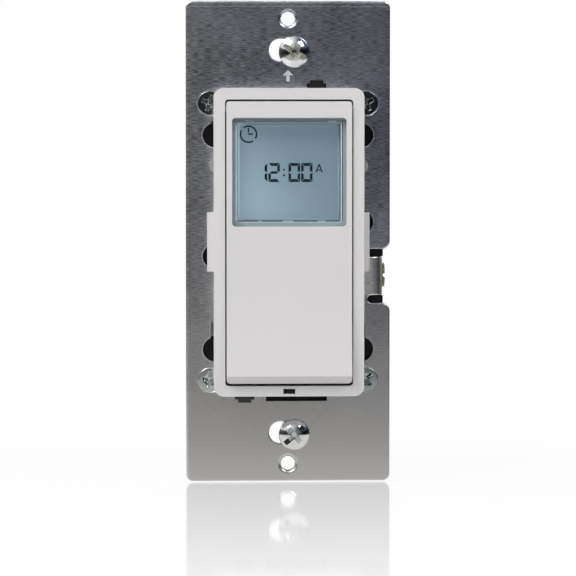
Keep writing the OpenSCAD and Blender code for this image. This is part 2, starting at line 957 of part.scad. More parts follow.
// One setting key with the lip that keeps it behind the cover
module key_cap(x, z) {
    color([0.8, 0.81, 0.82]) {
        slab(key_face, key_lip_back)
            translate([x, z])
                round_rect(key_w, key_h, key_corner_r);
        slab(key_lip_face, key_lip_back)
            translate([x, z])
                square([key_w + 2 * key_lip, key_h + 2 * key_lip], center = true);
    }
}

// The stem between a setting key and its switch
module key_stem(x, z) {
    color([0.2, 0.2, 0.2])
        rod_y(x, z, stem_r, key_lip_back, stem_back);
}

module key_up() {
    key_cap(-key_x, key_upper_z);
}

module key_down() {
    key_cap(-key_x, key_lower_z);
}

module key_enter() {
    key_cap(key_x, key_upper_z);
}

module key_back() {
    key_cap(key_x, key_lower_z);
}

module stem_up() {
    key_stem(-key_x, key_upper_z);
}

module stem_down() {
    key_stem(-key_x, key_lower_z);
}

module stem_enter() {
    key_stem(key_x, key_upper_z);
}

module stem_back() {
    key_stem(key_x, key_lower_z);
}

module board_header() {
    color([0.1, 0.1, 0.1])
        block(-header_w / 2, header_w / 2, board_back, power_face,
            header_z - header_h / 2, header_z + header_h / 2);
}

module power_board() {
    color([0.08, 0.3, 0.16])
        difference() {
            slab(power_face, power_back)
                square([power_w, power_h], center = true);
            for (sx = [-1, 1], sz = [-1, 1])
                rod_y(sx * corner_x, sz * corner_z, boss_outer_r + slip, power_face - cut, power_back + cut);
        }
}

module relay() {
    color([0.15, 0.25, 0.5])
        box_part(power_back, relay_at, relay_size);
}

module film_capacitor() {
    color([0.85, 0.65, 0.15])
        box_part(power_back, film_at, film_size);
}

module smoothing_capacitors() {
    color([0.15, 0.15, 0.2])
        for (at = electro_at)
            rod_y(at[0], at[1], electro_r, power_back, power_back + electro_h);
}

module choke_coil() {
    color([0.6, 0.35, 0.15])
        rod_y(choke_at[0], choke_at[1], choke_r, power_back, power_back + choke_h);
}

module surge_varistor() {
    color([0.15, 0.35, 0.6])
        intersection() {
            rod_x(power_back + varistor_r - varistor_flat, varistor_at[1], varistor_r,
                varistor_at[0], varistor_at[0] + varistor_t);
            block(varistor_at[0], varistor_at[0] + varistor_t, power_back, floor_y,
                varistor_at[1] - varistor_r, varistor_at[1] + varistor_r);
        }
}

module locator_led() {
    color([0.75, 0.9, 0.75]) {
        rod_y(0, led_z, led_r, pipe_back, power_face);
        rod_y(0, led_z, led_foot_r, power_face - led_foot_t, power_face);
    }
}

module light_pipe() {
    color([0.2, 0.22, 0.24]) {
        block(-pipe_w / 2, pipe_w / 2, pipe_face, pipe_back, pipe_z - pipe_h / 2, pipe_z + pipe_h / 2);
        block(-pipe_w / 2, pipe_w / 2, flange_t, pipe_back, pipe_z, led_z + led_r);
    }
}

// A terminal plate on the right-hand side, with its tongue
module terminal_plate(z) {
    x0 = body_w / 2;
    difference() {
        block(x0, x0 + terminal_t, power_back, terminal_y + terminal_len / 2,
            z - terminal_w / 2, z + terminal_w / 2);
        rod_x(terminal_y, z, terminal_screw_r + slip, x0 - cut, x0 + terminal_t + cut);
    }
    block(tongue_in, x0 + cut, power_back, power_back + tongue_t, z - tongue_w / 2, z + tongue_w / 2);
}

module line_terminal() {
    color([0.78, 0.62, 0.3])
        mirror([1, 0, 0])
            terminal_plate(line_z);
}

module load_terminal() {
    color([0.78, 0.62, 0.3])
        mirror([1, 0, 0])
            terminal_plate(load_z);
}

module neutral_terminal() {
    color([0.75, 0.75, 0.74])
        terminal_plate(neutral_z);
}

// A clamp plate under a terminal screw on the right-hand side
module clamp_plate(z) {
    x0 = body_w / 2 + terminal_t;
    difference() {
        block(x0, x0 + clamp_t, terminal_y - clamp_len / 2, terminal_y + clamp_len / 2,
            z - clamp_w / 2, z + clamp_w / 2);
        rod_x(terminal_y, z, terminal_screw_r + slip, x0 - cut, x0 + clamp_t + cut);
    }
}

module terminal_clamps() {
    color([0.72, 0.7, 0.62]) {
        clamp_plate(neutral_z);
        mirror([1, 0, 0]) {
            clamp_plate(line_z);
            clamp_plate(load_z);
        }
    }
}

// A slotted terminal screw on the right-hand side
module terminal_screw(z) {
    x0 = body_w / 2;
    seat = x0 + terminal_t + clamp_t;
    difference() {
        union() {
            rod_x(terminal_y, z, terminal_screw_r, x0 + slip, seat + cut);
            rod_x(terminal_y, z, terminal_head_r, seat, seat + terminal_head_t);
        }
        block(seat + terminal_head_t - driver_t, seat + terminal_head_t + cut,
            terminal_y - terminal_head_r, terminal_y + terminal_head_r, z - driver_w / 2, z + driver_w / 2);
    }
}

module hot_terminal_screws() {
    color([0.78, 0.62, 0.3])
        mirror([1, 0, 0]) {
            terminal_screw(line_z);
            terminal_screw(load_z);
        }
}

module neutral_terminal_screw() {
    color([0.78, 0.78, 0.78])
        terminal_screw(neutral_z);
}

// A combination-head screw that holds the strap to the wall box
module box_screw(z, turn) {
    seat = strap_face - slip;
    dome_r = (pow(box_head_d / 2, 2) + pow(box_dome_t, 2)) / (2 * box_dome_t);
    color([0.72, 0.73, 0.75])
        difference() {
            union() {
                rod_y(box_screw_x, z, neck_r, seat - cut, neck_end + cut);
                rod_y(box_screw_x, z, box_screw_d / 2, neck_end, box_screw_len);
                intersection() {
                    translate([box_screw_x, seat - box_rim_t - box_dome_t + dome_r, z])
                        sphere(r = dome_r);
                    rod_y(box_screw_x, z, box_head_d / 2, seat - box_rim_t - box_dome_t - cut, seat);
                }
            }
            translate([box_screw_x, seat - box_rim_t - box_dome_t, z])
                rotate([0, turn, 0])
                    translate([-box_head_d / 2, -cut, -driver_w / 2])
                        cube([box_head_d, driver_t + cut, driver_w]);
        }
}

// The fibre washer that keeps a box screw in its slot
module screw_washer(z) {
    color([0.75, 0.7, 0.6])
        difference() {
            rod_y(box_screw_x, z, washer_d / 2, slip, slip + washer_t);
            rod_y(box_screw_x, z, neck_r + slip / 2, -cut, washer_t + cut);
        }
}

module top_box_screw() {
    box_screw(top_screw_z, top_slot_turn);
}

module bottom_box_screw() {
    box_screw(low_screw_z, low_slot_turn);
}

module top_screw_washer() {
    screw_washer(top_screw_z);
}

module bottom_screw_washer() {
    screw_washer(low_screw_z);
}

mounting_strap();
bezel_frame();
front_cover();
back_housing();
housing_screws();
ground_screw();
hinge_pins();
push_pad();
window_lens();
press_yoke();
load_switch();
load_plunger();
lcd_glass();
lcd_bezel();
backlight_guide();
lcd_connectors();
control_board();
board_screws();
microcontroller();
clock_crystal();
backup_cell();
key_switches();
key_up();
key_down();
key_enter();
key_back();
stem_up();
stem_down();
stem_enter();
stem_back();
board_header();
power_board();
relay();
film_capacitor();
smoothing_capacitors();
surge_varistor();
choke_coil();
locator_led();
light_pipe();
line_terminal();
load_terminal();
neutral_terminal();
terminal_clamps();
hot_terminal_screws();
neutral_terminal_screw();
top_box_screw();
bottom_box_screw();
top_screw_washer();
bottom_screw_washer();
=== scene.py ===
"""The looks of a timer light switch: brushed strap, white bezel and pad, display, keys and screws."""

import math

import bmesh
import bpy
from mathutils import Matrix, Vector


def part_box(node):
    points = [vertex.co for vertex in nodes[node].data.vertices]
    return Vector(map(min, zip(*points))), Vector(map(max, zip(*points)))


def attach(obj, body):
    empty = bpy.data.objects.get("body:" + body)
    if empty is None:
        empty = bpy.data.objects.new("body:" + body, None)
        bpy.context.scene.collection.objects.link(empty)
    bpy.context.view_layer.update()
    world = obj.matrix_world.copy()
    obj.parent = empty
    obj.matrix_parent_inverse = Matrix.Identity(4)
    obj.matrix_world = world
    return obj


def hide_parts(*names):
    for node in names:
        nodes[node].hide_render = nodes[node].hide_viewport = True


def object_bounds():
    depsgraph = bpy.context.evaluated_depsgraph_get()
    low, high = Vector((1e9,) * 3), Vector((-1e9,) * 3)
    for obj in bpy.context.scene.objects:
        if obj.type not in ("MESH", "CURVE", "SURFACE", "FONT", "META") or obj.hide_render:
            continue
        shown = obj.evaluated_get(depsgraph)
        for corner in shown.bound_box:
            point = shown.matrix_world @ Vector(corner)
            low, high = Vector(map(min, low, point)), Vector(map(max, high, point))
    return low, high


MM = 0.001
WHITE = (1, 1, 1, 1)
BLACK = (0, 0, 0, 1)
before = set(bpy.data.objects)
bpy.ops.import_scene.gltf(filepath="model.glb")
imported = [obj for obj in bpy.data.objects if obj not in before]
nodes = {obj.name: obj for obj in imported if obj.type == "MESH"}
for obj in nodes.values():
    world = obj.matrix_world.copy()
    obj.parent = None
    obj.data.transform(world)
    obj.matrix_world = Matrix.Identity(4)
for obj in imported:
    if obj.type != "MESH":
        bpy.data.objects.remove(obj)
cad_low, cad_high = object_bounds()
scene = bpy.context.scene


def mm(*values):
    """A point or size in metres, from values in millimetres."""
    return Vector(values) * MM


def box_mm(node):
    """The lowest and highest corners of a node's box, in millimetres."""
    low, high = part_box(node)
    return low / MM, high / MM


def middle(node):
    """The middle of a node's box."""
    low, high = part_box(node)
    return (low + high) / 2


# Node helpers

def feed(tree, value, socket):
    """Links a socket to another, or sets a plain value on it."""
    if isinstance(value, bpy.types.NodeSocket):
        tree.links.new(value, socket)
    else:
        socket.default_value = value


def math_node(tree, operation, a, b=0):
    """A sum, product or other simple step on two values or sockets."""
    node = tree.nodes.new("ShaderNodeMath")
    node.operation = operation
    feed(tree, a, node.inputs[0])
    feed(tree, b, node.inputs[1])
    return node.outputs[0]


def product(tree, value, *others):
    """The product of several values or sockets."""
    for other in others:
        value = math_node(tree, "MULTIPLY", value, other)
    return value


def weighted(tree, a, b, share):
    """A share of one value and the rest of the other."""
    return math_node(tree, "ADD", product(tree, a, share), product(tree, b, 1 - share))


def between(tree, value, low, high):
    """One where a value lies between two limits, and nought elsewhere."""
    above = math_node(tree, "GREATER_THAN", value, low)
    return product(tree, above, math_node(tree, "LESS_THAN", value, high))


def ramp(tree, value, start, end, low=0, high=1, smooth=False):
    """Goes from low to high while a value goes from start to end."""
    node = tree.nodes.new("ShaderNodeMapRange")
    if smooth:
        node.interpolation_type = "SMOOTHSTEP"
    for key, number in (("From Min", start), ("From Max", end), ("To Min", low), ("To Max", high)):
        node.inputs[key].default_value = number
    tree.links.new(value, node.inputs["Value"])
    return node.outputs[0]


def mix_color(tree, factor, a, b, blend="MIX"):
    """A mix of two colours or colour sockets."""
    node = tree.nodes.new("ShaderNodeMix")
    node.data_type = "RGBA"
    node.blend_type = blend
    for index, value in ((0, factor), (6, a), (7, b)):
        feed(tree, value, node.inputs[index])
    return node.outputs[2]


def mix_shader(tree, factor, a, b):
    """A mix of two shaders."""
    node = tree.nodes.new("ShaderNodeMixShader")
    for value, socket in zip((factor, a, b), node.inputs):
        tree.links.new(value, socket)
    return node.outputs[0]


def object_point(tree):
    """A point of the surface in the object's own frame, in metres."""
    return tree.nodes.new("ShaderNodeTexCoord").outputs["Object"]


def axes(tree, point):
    """The x, y and z of a point."""
    parts = tree.nodes.new("ShaderNodeSeparateXYZ")
    tree.links.new(point, parts.inputs[0])
    return parts.outputs


def distance_from(tree, centre):
    """How far the surface lies from a point of the object."""
    away = tree.nodes.new("ShaderNodeVectorMath")
    away.operation = "DISTANCE"
    away.inputs[1].default_value = centre
    tree.links.new(object_point(tree), away.inputs[0])
    return away.outputs["Value"]


def object_noise(tree, scale, detail, stretch=None):
    """Noise in the object's own frame; scale is a number or a socket, and stretch a socket."""
    noise = tree.nodes.new("ShaderNodeTexNoise")
    noise.inputs["Detail"].default_value = detail
    point = object_point(tree)
    if stretch is not None:
        pulled = tree.nodes.new("ShaderNodeVectorMath")
        pulled.operation = "MULTIPLY"
        tree.links.new(point, pulled.inputs[0])
        tree.links.new(stretch, pulled.inputs[1])
        point = pulled.outputs[0]
    tree.links.new(point, noise.inputs["Vector"])
    feed(tree, scale, noise.inputs["Scale"])
    return noise.outputs["Fac"]


# Shader groups

COLOR = "NodeSocketColor"
NUMBER = "NodeSocketFloat"
VECTOR = "NodeSocketVector"


def surface_group(name, inputs):
    """An empty shader group with the named inputs, and the sockets at its start and end."""
    tree = bpy.data.node_groups.new(name, "ShaderNodeTree")
    for label, kind, value in inputs:
        socket = tree.interface.new_socket(label, in_out="INPUT", socket_type=kind)
        socket.default_value = value
    for label, kind in (("Color", COLOR), ("Roughness", NUMBER), ("Height", NUMBER)):
        tree.interface.new_socket(label, in_out="OUTPUT", socket_type=kind)
    start = tree.nodes.new("NodeGroupInput")
    end = tree.nodes.new("NodeGroupOutput")
    return tree, start.outputs, end.inputs


def put_out(tree, start, end, shade, spread, height):
    """Links a group's outputs: the shaded colour, the spread roughness and the height."""
    tree.links.new(mix_color(tree, 1, start["Color"], shade, "MULTIPLY"), end["Color"])
    tree.links.new(math_node(tree, "ADD", start["Roughness"], spread), end["Roughness"])
    tree.links.new(height, end["Height"])


def moulded_grain():
    """Fine spark-eroded grain and faint flow clouds of a moulded piece."""
    tree, start, end = surface_group("moulded_grain", (
        ("Color", COLOR, (0.8, 0.8, 0.8, 1)), ("Mottle", NUMBER, 0.05), ("Roughness", NUMBER, 0.4),
        ("Grain", NUMBER, 5000)))
    cloud_scale = 110
    fine_share = 0.4
    roughness_spread = 0.25
    fine = object_noise(tree, start["Grain"], detail=4)
    speck = weighted(tree, fine, object_noise(tree, cloud_scale, detail=3), fine_share)
    shade = math_node(tree, "SUBTRACT", 1, product(tree, speck, start["Mottle"]))
    spread = product(tree, math_node(tree, "SUBTRACT", speck, 0.5), roughness_spread)
    put_out(tree, start, end, shade, spread, fine)
    return tree


def drawn_streaks():
    """Lines that rolling, brushing or turning leaves in metal."""
    tree, start, end = surface_group("drawn_streaks", (
        ("Color", COLOR, (0.6, 0.6, 0.6, 1)), ("Contrast", NUMBER, 0.2), ("Roughness", NUMBER, 0.3),
        ("Stretch", VECTOR, (1, 1, 1)), ("Grain", NUMBER, 1000)))
    cloud_scale = 70
    line_share = 0.75
    roughness_spread = 0.15
    line = object_noise(tree, start["Grain"], detail=5, stretch=start["Stretch"])
    both = weighted(tree, line, object_noise(tree, cloud_scale, detail=3), line_share)
    centred = math_node(tree, "SUBTRACT", both, 0.5)
    shade = math_node(tree, "ADD", 1, product(tree, centred, start["Contrast"]))
    put_out(tree, start, end, shade, product(tree, centred, roughness_spread), line)
    return tree


GRAIN = moulded_grain()
STREAKS = drawn_streaks()


# Finishes

def finish(name, group, values, relief, shader):
    """A material whose surface comes from a group; other settings go on the shader's own sockets."""
    material = bpy.data.materials.new(name)
    material.use_nodes = True
    tree = material.node_tree
    skin = tree.nodes["Principled BSDF"]
    look = tree.nodes.new("ShaderNodeGroup")
    look.node_tree = group
    for key, value in values.items():
        look.inputs[key].default_value = value
    tree.links.new(look.outputs["Color"], skin.inputs["Base Color"])
    tree.links.new(look.outputs["Roughness"], skin.inputs["Roughness"])
    bump = tree.nodes.new("ShaderNodeBump")
    bump.inputs["Strength"].default_value = relief
    bump.inputs["Distance"].default_value = 0.02 * MM
    tree.links.new(look.outputs["Height"], bump.inputs["Height"])
    tree.links.new(bump.outputs["Normal"], skin.inputs["Normal"])
    for key, value in shader.items():
        skin.inputs[key.replace("_", " ").title().replace("Ior", "IOR")].default_value = value
    return material


def plastic(name, roughness, color=(0.8, 0.8, 0.8), mottle=0.06, grain=5000, relief=0.12, **shader):
    """A moulded, printed or coated finish."""
    values = {"Color": (*color, 1), "Roughness": roughness, "Mottle": mottle, "Grain": grain}
    return finish(name, GRAIN, values, relief, shader)


def metal(name, roughness, color=(0.6, 0.6, 0.6), contrast=0.25, stretch=(1, 1, 1), grain=900, relief=0.1):
    """A drawn, turned or plated metal finish."""
    values = {"Color": (*color, 1), "Roughness": roughness, "Contrast": contrast, "Stretch": stretch,
              "Grain": grain}
    return finish(name, STREAKS, values, relief, {"metallic": 1.0})


PLASTICS = {
    "white_plastic": dict(roughness=0.36, color=(0.785, 0.767, 0.757), mottle=0.03, grain=4500, relief=0.05),
    "black_plastic": dict(roughness=0.5, color=(0.009, 0.009, 0.01), mottle=0.25, grain=3500, relief=0.25,
                          specular_ior_level=0.25),
    "grey_plastic": dict(roughness=0.45, color=(0.42, 0.42, 0.41)),
    "cream_plastic": dict(roughness=0.45, color=(0.6, 0.55, 0.43)),
    "key_plastic": dict(roughness=0.42, color=(0.55, 0.56, 0.57), mottle=0.08, grain=3000, relief=0.2),
    "clear_plastic": dict(roughness=0.06, color=(0.08, 0.12, 0.14), mottle=0.05, grain=1200, relief=0.01,
                          alpha=0.05),
    "milky_plastic": dict(roughness=0.35, color=(0.74, 0.79, 0.82)),
    "smoked_plastic": dict(roughness=0.2, color=(0.009, 0.007, 0.006), specular_ior_level=0.3),
    # The display border glows on its left side: painted light
    "display_border": dict(roughness=0.4, color=(0.42, 0.54, 0.6), emission_strength=1),
    # The display glass glows in its own colour: painted light
    "display_glass": dict(roughness=0.3, mottle=0.05, grain=2500, relief=0.02, emission_strength=0.55),
    "segment_ink": dict(roughness=0.5, color=(0.006, 0.012, 0.018), mottle=0.1, specular_ior_level=0.2),
    "window_tint": dict(roughness=0.3, color=(0.47, 0.57, 0.62), mottle=0.2, grain=900, relief=0.02),
    # Painted shade lines in the window's border
    "window_painted_shade": dict(roughness=0.35, color=(0.1, 0.14, 0.16), mottle=0.5, grain=700, relief=0.02),
    # Painted highlight lines in the window's border, which glow
    "window_glint": dict(roughness=0.25, color=(0.8, 0.93, 0.97), mottle=0.4, grain=700, relief=0.02,
                         emission_color=(0.55, 0.7, 0.76, 1), emission_strength=0.25),
    "strap_print": dict(roughness=0.5, color=(0.62, 0.63, 0.64), mottle=0.1),
    "legend_ink": dict(roughness=0.5, color=(0.03, 0.03, 0.032), mottle=0.15),
    "contact_rubber": dict(roughness=0.7, color=(0.6, 0.22, 0.3), mottle=0.3, grain=2500, relief=0.4),
    "board_laminate": dict(roughness=0.35, color=(0.015, 0.1, 0.045), mottle=0.4, grain=1500, relief=0.3,
                           coat_weight=0.3),
    "chip_black": dict(roughness=0.55, color=(0.025, 0.025, 0.026), mottle=0.3, grain=6000, relief=0.3),
    "relay_blue": dict(roughness=0.4, color=(0.02, 0.06, 0.22), mottle=0.15),
    "capacitor_yellow": dict(roughness=0.4, color=(0.62, 0.36, 0.03), mottle=0.15),
    "capacitor_dark": dict(roughness=0.3, color=(0.02, 0.02, 0.05), mottle=0.2),
    "varistor_blue": dict(roughness=0.45, color=(0.04, 0.12, 0.34), mottle=0.3, grain=1500, relief=0.5),
    "fibre": dict(roughness=0.75, color=(0.5, 0.38, 0.22), mottle=0.4, grain=2500, relief=0.6),
}
METALS = {
    "strap_metal": dict(roughness=0.3, stretch=(0.09, 1, 1), grain=7400, relief=0.3),
    "screw_steel": dict(roughness=0.13, contrast=0.2, grain=1800, relief=0.05),
    "screw_chrome": dict(roughness=0.12, color=(0.74, 0.75, 0.75), contrast=0.15, grain=1500, relief=0.04),
    "warm_recess": dict(roughness=0.4, color=(0.8, 0.81, 0.7), contrast=0.4, grain=2500, relief=0.3),
    "cool_recess": dict(roughness=0.25, color=(0.74, 0.79, 0.78), contrast=0.4, grain=2500, relief=0.3),
    # Painted shade on the floors of a screw's slot ends
    "slot_painted_shade": dict(roughness=0.35, color=(0.05, 0.056, 0.056), contrast=0.4, grain=2500, relief=0.3),
    "pin_steel": dict(roughness=0.25, color=(0.65, 0.65, 0.66), stretch=(1, 12, 12), grain=600),
    "can_metal": dict(roughness=0.28),
    "copper_wire": dict(roughness=0.3, color=(0.62, 0.27, 0.1), contrast=0.3, stretch=(1, 1, 6), grain=1500,
                        relief=0.5),
    "ground_green": dict(roughness=0.3, color=(0.2, 0.21, 0.08), contrast=0.35, grain=1500),
    "brass": dict(roughness=0.28, color=(0.72, 0.5, 0.18), contrast=0.3, grain=1200),
    "nickel_plate": dict(roughness=0.26, color=(0.66, 0.64, 0.59), grain=1200),
}
FINISHES = {name: plastic(name, **look) for name, look in PLASTICS.items()}
FINISHES.update({name: metal(name, **look) for name, look in METALS.items()})


# Tones, painted light and painted shade that change over a piece

# The window border's inset and the widths of its strips, in millimetres
BORDER_INSET = 0.1
BORDER_RIM = 1.26
BORDER_LEFT_RIM = 1.13


def look_of(name):
    """A finish's node tree, and the group node that gives its surface."""
    tree = FINISHES[name].node_tree
    return tree, next(node for node in tree.nodes if node.type == "GROUP")


def display_painted_light():
    """The blue-grey display, with painted reflection paler low on the left and deeper high on the right, a
    painted highlight near its lower left and painted light brighter round its edge.
    """
    tree, look = look_of("display_glass")
    # Painted reflection: paler low on the left, deeper high on the right
    pale, deep = (0.2, 0.285, 0.335, 1), (0.14, 0.205, 0.25, 1)
    painted_corner_highlight = (0.3, 0.41, 0.475, 1)
    low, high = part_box("lcd_glass")
    x, _, z = axes(tree, object_point(tree))
    across = ramp(tree, x, low.x, high.x, 0, 0.7)
    up = ramp(tree, z, low.z, high.z, 0, 0.3)
    tone = mix_color(tree, math_node(tree, "ADD", across, up), pale, deep)
    # A painted highlight near the lower left corner
    from_corner = distance_from(tree, low + mm(4, 0, 5))
    tone = mix_color(tree, ramp(tree, from_corner, 0, 15 * MM, 0.45, 0, smooth=True), tone, painted_corner_highlight)
    # Painted light, brighter round the edge where the window shades the display
    painted_edge_light = ramp(tree, distance_from(tree, middle("lcd_glass")), 2 * MM, 13 * MM, 0.92, 1.12)
    tree.links.new(mix_color(tree, 1, tone, painted_edge_light, "MULTIPLY"), look.inputs["Color"])
    # Painted light: the display glows in its own colour, so the window's shade falls less on it
    skin = tree.nodes["Principled BSDF"]
    tree.links.new(look.outputs["Color"], skin.inputs["Emission Color"])


def border_painted_light():
    """The display's border, with painted light that glows on its shaded left side."""
    tree, _ = look_of("display_border")
    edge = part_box("lcd_bezel")[0].x
    x, _, _ = axes(tree, object_point(tree))
    left = ramp(tree, x, edge, edge + 2 * MM, 1, 0)
    # Painted light that glows on the border's shaded left side
    painted_glow = (0.18, 0.25, 0.285, 1)
    tone = mix_color(tree, left, BLACK, painted_glow)
    tree.links.new(tone, tree.nodes["Principled BSDF"].inputs["Emission Color"])


def border_painted_shade():
    """The window's border, with painted shade under the top edge of the opening."""
    tree, look = look_of("window_tint")
    inner_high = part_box("window_lens")[1].z - (BORDER_INSET + BORDER_RIM) * MM
    _, _, z = axes(tree, object_point(tree))
    # Painted shade in a band under the top edge of the opening
    brow = product(tree, ramp(tree, z, inner_high + 0.2 * MM, inner_high + 0.4 * MM),
                   ramp(tree, z, inner_high + 0.9 * MM, inner_high + 1.0 * MM, 1, 0))
    painted_shade_tint = (0.28, 0.34, 0.37, 1)
    tone = mix_color(tree, brow, look.inputs["Color"].default_value, painted_shade_tint)
    tree.links.new(tone, look.inputs["Color"])


def strap_lines_and_painted_light():
    """The strap: rolling lines that fade towards its foot, painted reflection paler at its foot and darker
    high on the right, painted highlights on its edges, painted light on its tab and painted shade at the
    tab's bend.
    """
    tree, look = look_of("strap_metal")
    foot, upper_left, upper_right = (0.585, 0.58, 0.565, 1), (0.57, 0.585, 0.63, 1), (0.44, 0.465, 0.54, 1)
    painted_edge_highlight, tab_painted_light, bend_shade = (0.96, 0.97, 0.98, 1), (0.94, 0.96, 0.98, 1), (0.08, 0.083, 0.085, 1)
    low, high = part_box("mounting_strap")
    x, _, z = axes(tree, object_point(tree))
    rolled = ramp(tree, z, start=0.8 * low.z, end=0.3 * high.z, low=0.2, high=4.6)
    tree.links.new(rolled, look.inputs["Contrast"])
    # Painted reflection: paler towards the foot, darker high up and on the right
    upper = mix_color(tree, ramp(tree, x, low.x, high.x), upper_left, upper_right)
    shade = mix_color(tree, ramp(tree, z, low.z, 8 * MM), foot, upper)
    # Painted highlights along the left edge and in two lines under the top edge
    highlight_mask = ramp(tree, x, low.x, low.x + 0.6 * MM, 0.9, 0)
    for drop, half, strength in ((0.45, 0.3, 0.95), (1.2, 0.18, 0.75)):
        off = math_node(tree, "ABSOLUTE", math_node(tree, "SUBTRACT", z, high.z - drop * MM))
        line = ramp(tree, off, 0.4 * half * MM, half * MM, strength, 0)
        highlight_mask = math_node(tree, "MAXIMUM", highlight_mask, line)
    shade = mix_color(tree, highlight_mask, shade, painted_edge_highlight)
    tab = middle("ground_screw").z
    tab_half = 4.2 * MM
    on_tab = product(tree, between(tree, z, tab - tab_half, tab + tab_half),
                     math_node(tree, "GREATER_THAN", x, high.x - 8 * MM))
    # Painted light on the tab
    shade = mix_color(tree, on_tab, shade, tab_painted_light)
    # Painted shade at the tab's bend
    bend = ramp(tree, x, high.x - 2.9 * MM, high.x - 2.4 * MM, 0, 0.5)
    shade = mix_color(tree, product(tree, bend, on_tab), shade, bend_shade)
    tree.links.new(shade, look.inputs["Color"])


def screw_painted_reflection():
    """The corner screws, with painted reflection that makes them darker at the top of the strap and on its
    right.
    """
    tree, look = look_of("screw_steel")
    low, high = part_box("housing_screws")
    x, _, z = axes(tree, object_point(tree))
    # Painted reflection: the heads darken towards the top and on the right
    lower_left, lower_right = (0.73, 0.78, 0.77, 1), (0.51, 0.58, 0.59, 1)
    upper_left, upper_right = (0.5, 0.53, 0.53, 1), (0.36, 0.4, 0.41, 1)
    right = math_node(tree, "GREATER_THAN", x, 0)
    lower = mix_color(tree, right, lower_left, lower_right)
    upper = mix_color(tree, right, upper_left, upper_right)
    tone = mix_color(tree, ramp(tree, z, low.z, high.z), lower, upper)
    tree.links.new(tone, look.inputs["Color"])


def cover_tones():
    """The front cover, paler in the strap's relief, and with painted light making its lower hook paler."""
    tree, look = look_of("black_plastic")
    pale, hook_painted_light = (0.88, 0.88, 0.87, 1), (0.055, 0.055, 0.052, 1)
    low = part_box("front_cover")[0]
    strap_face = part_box("mounting_strap")[0].y
    x, y, z = axes(tree, object_point(tree))
    relief = product(tree, between(tree, x, low.x + 3.6 * MM, low.x + 5.3 * MM),
                     between(tree, z, low.z + 14.6 * MM, low.z + 17.8 * MM),
                     math_node(tree, "LESS_THAN", y, strap_face + 2 * MM))
    tone = mix_color(tree, relief, look.inputs["Color"].default_value, pale)
    # Painted light: the lower hook is greyer, as if lit from below
    hook = product(tree, math_node(tree, "LESS_THAN", z, low.z + 1.4 * MM),
                   math_node(tree, "LESS_THAN", y, strap_face + 0.3 * MM))
    tree.links.new(mix_color(tree, hook, tone, hook_painted_light), look.inputs["Color"])


def white_painted_shade():
    """Painted shade on the bumps on the bezel's sides and on the top edge of the pad, which makes them
    greyer than the rest.
    """
    tree, look = look_of("white_plastic")
    bump_painted_shade, brow_painted_shade = (0.34, 0.34, 0.35, 1), (0.61, 0.596, 0.588, 1)
    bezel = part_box("bezel_frame")[1]
    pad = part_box("push_pad")[1]
    slack = 0.05 * MM
    x, _, z = axes(tree, object_point(tree))
    aside = math_node(tree, "ABSOLUTE", x)
    # Painted shade on the bumps at the bezel's sides
    bump = product(tree, math_node(tree, "GREATER_THAN", aside, bezel.x - 1.36 * MM),
                   math_node(tree, "GREATER_THAN", z, bezel.z - 23.25 * MM))
    tone = mix_color(tree, bump, look.inputs["Color"].default_value, bump_painted_shade)
    # Painted shade along the pad's top edge
    brow = product(tree, ramp(tree, z, pad.z - 1.35 * MM, pad.z - 0.75 * MM),
                   math_node(tree, "LESS_THAN", aside, pad.x + slack),
                   math_node(tree, "LESS_THAN", z, pad.z + slack))
    tree.links.new(mix_color(tree, brow, tone, brow_painted_shade), look.inputs["Color"])


for toned in (display_painted_light, border_painted_light, border_painted_shade, strap_lines_and_painted_light, screw_painted_reflection, cover_tones, white_painted_shade):
    toned()

NODE_SLOTS = {
    "strap_metal": "mounting_strap",
    "white_plastic": "bezel_frame push_pad",
    "black_plastic": "front_cover back_housing load_switch key_switches",
    "screw_steel": "housing_screws board_screws",
    "ground_green": "ground_screw",
    "pin_steel": "hinge_pins",
    "clear_plastic": "window_lens",
    "grey_plastic": "press_yoke",
    "cream_plastic": "load_plunger stem_up stem_down stem_enter stem_back",
    "display_glass": "lcd_glass",
    "display_border": "lcd_bezel",
    "milky_plastic": "backlight_guide locator_led",
    "contact_rubber": "lcd_connectors",
    "board_laminate": "control_board power_board",
    "chip_black": "microcontroller board_header",
    "can_metal": "clock_crystal backup_cell",
    "key_plastic": "key_up key_down key_enter key_back",
    "relay_blue": "relay",
    "capacitor_yellow": "film_capacitor",
    "capacitor_dark": "smoothing_capacitors",
    "varistor_blue": "surge_varistor",
    "copper_wire": "choke_coil",
    "smoked_plastic": "light_pipe",
    "brass": "line_terminal load_terminal hot_terminal_screws",
    "nickel_plate": "neutral_terminal terminal_clamps neutral_terminal_screw",
    "screw_chrome": "top_box_screw bottom_box_screw",
    "fibre": "top_screw_washer bottom_screw_washer",
}


# Soft edges on the solids

BEVEL_ANGLE = math.radians(35)
SMOOTH_ANGLE = math.radians(40)
FLAT_ANGLE = math.radians(0.5)


def geometry_group(name):
    """An empty geometry group, and the sockets where its mesh comes in and goes out."""
    tree = bpy.data.node_groups.new(name, "GeometryNodeTree")
    for way in ("INPUT", "OUTPUT"):
        tree.interface.new_socket("Geometry", in_out=way, socket_type="NodeSocketGeometry")
    start = tree.nodes.new("NodeGroupInput")
    end = tree.nodes.new("NodeGroupOutput")
    return tree, start.outputs[0], end.inputs[0]


def chain(tree, start, steps, end):
    """Passes the mesh through the steps in turn."""
    for step in steps:
        tree.links.new(start, step.inputs["Geometry"])
        start = step.outputs["Geometry"]
    tree.links.new(start, end)


def merge_tree():
    """Geometry nodes that join the corners of a solid's faces."""
    tree, start, end = geometry_group("join_corners")
    join = tree.nodes.new("GeometryNodeMergeByDistance")
    join.inputs["Distance"].default_value = 0.002 * MM
    chain(tree, start, [join], end)
    return tree


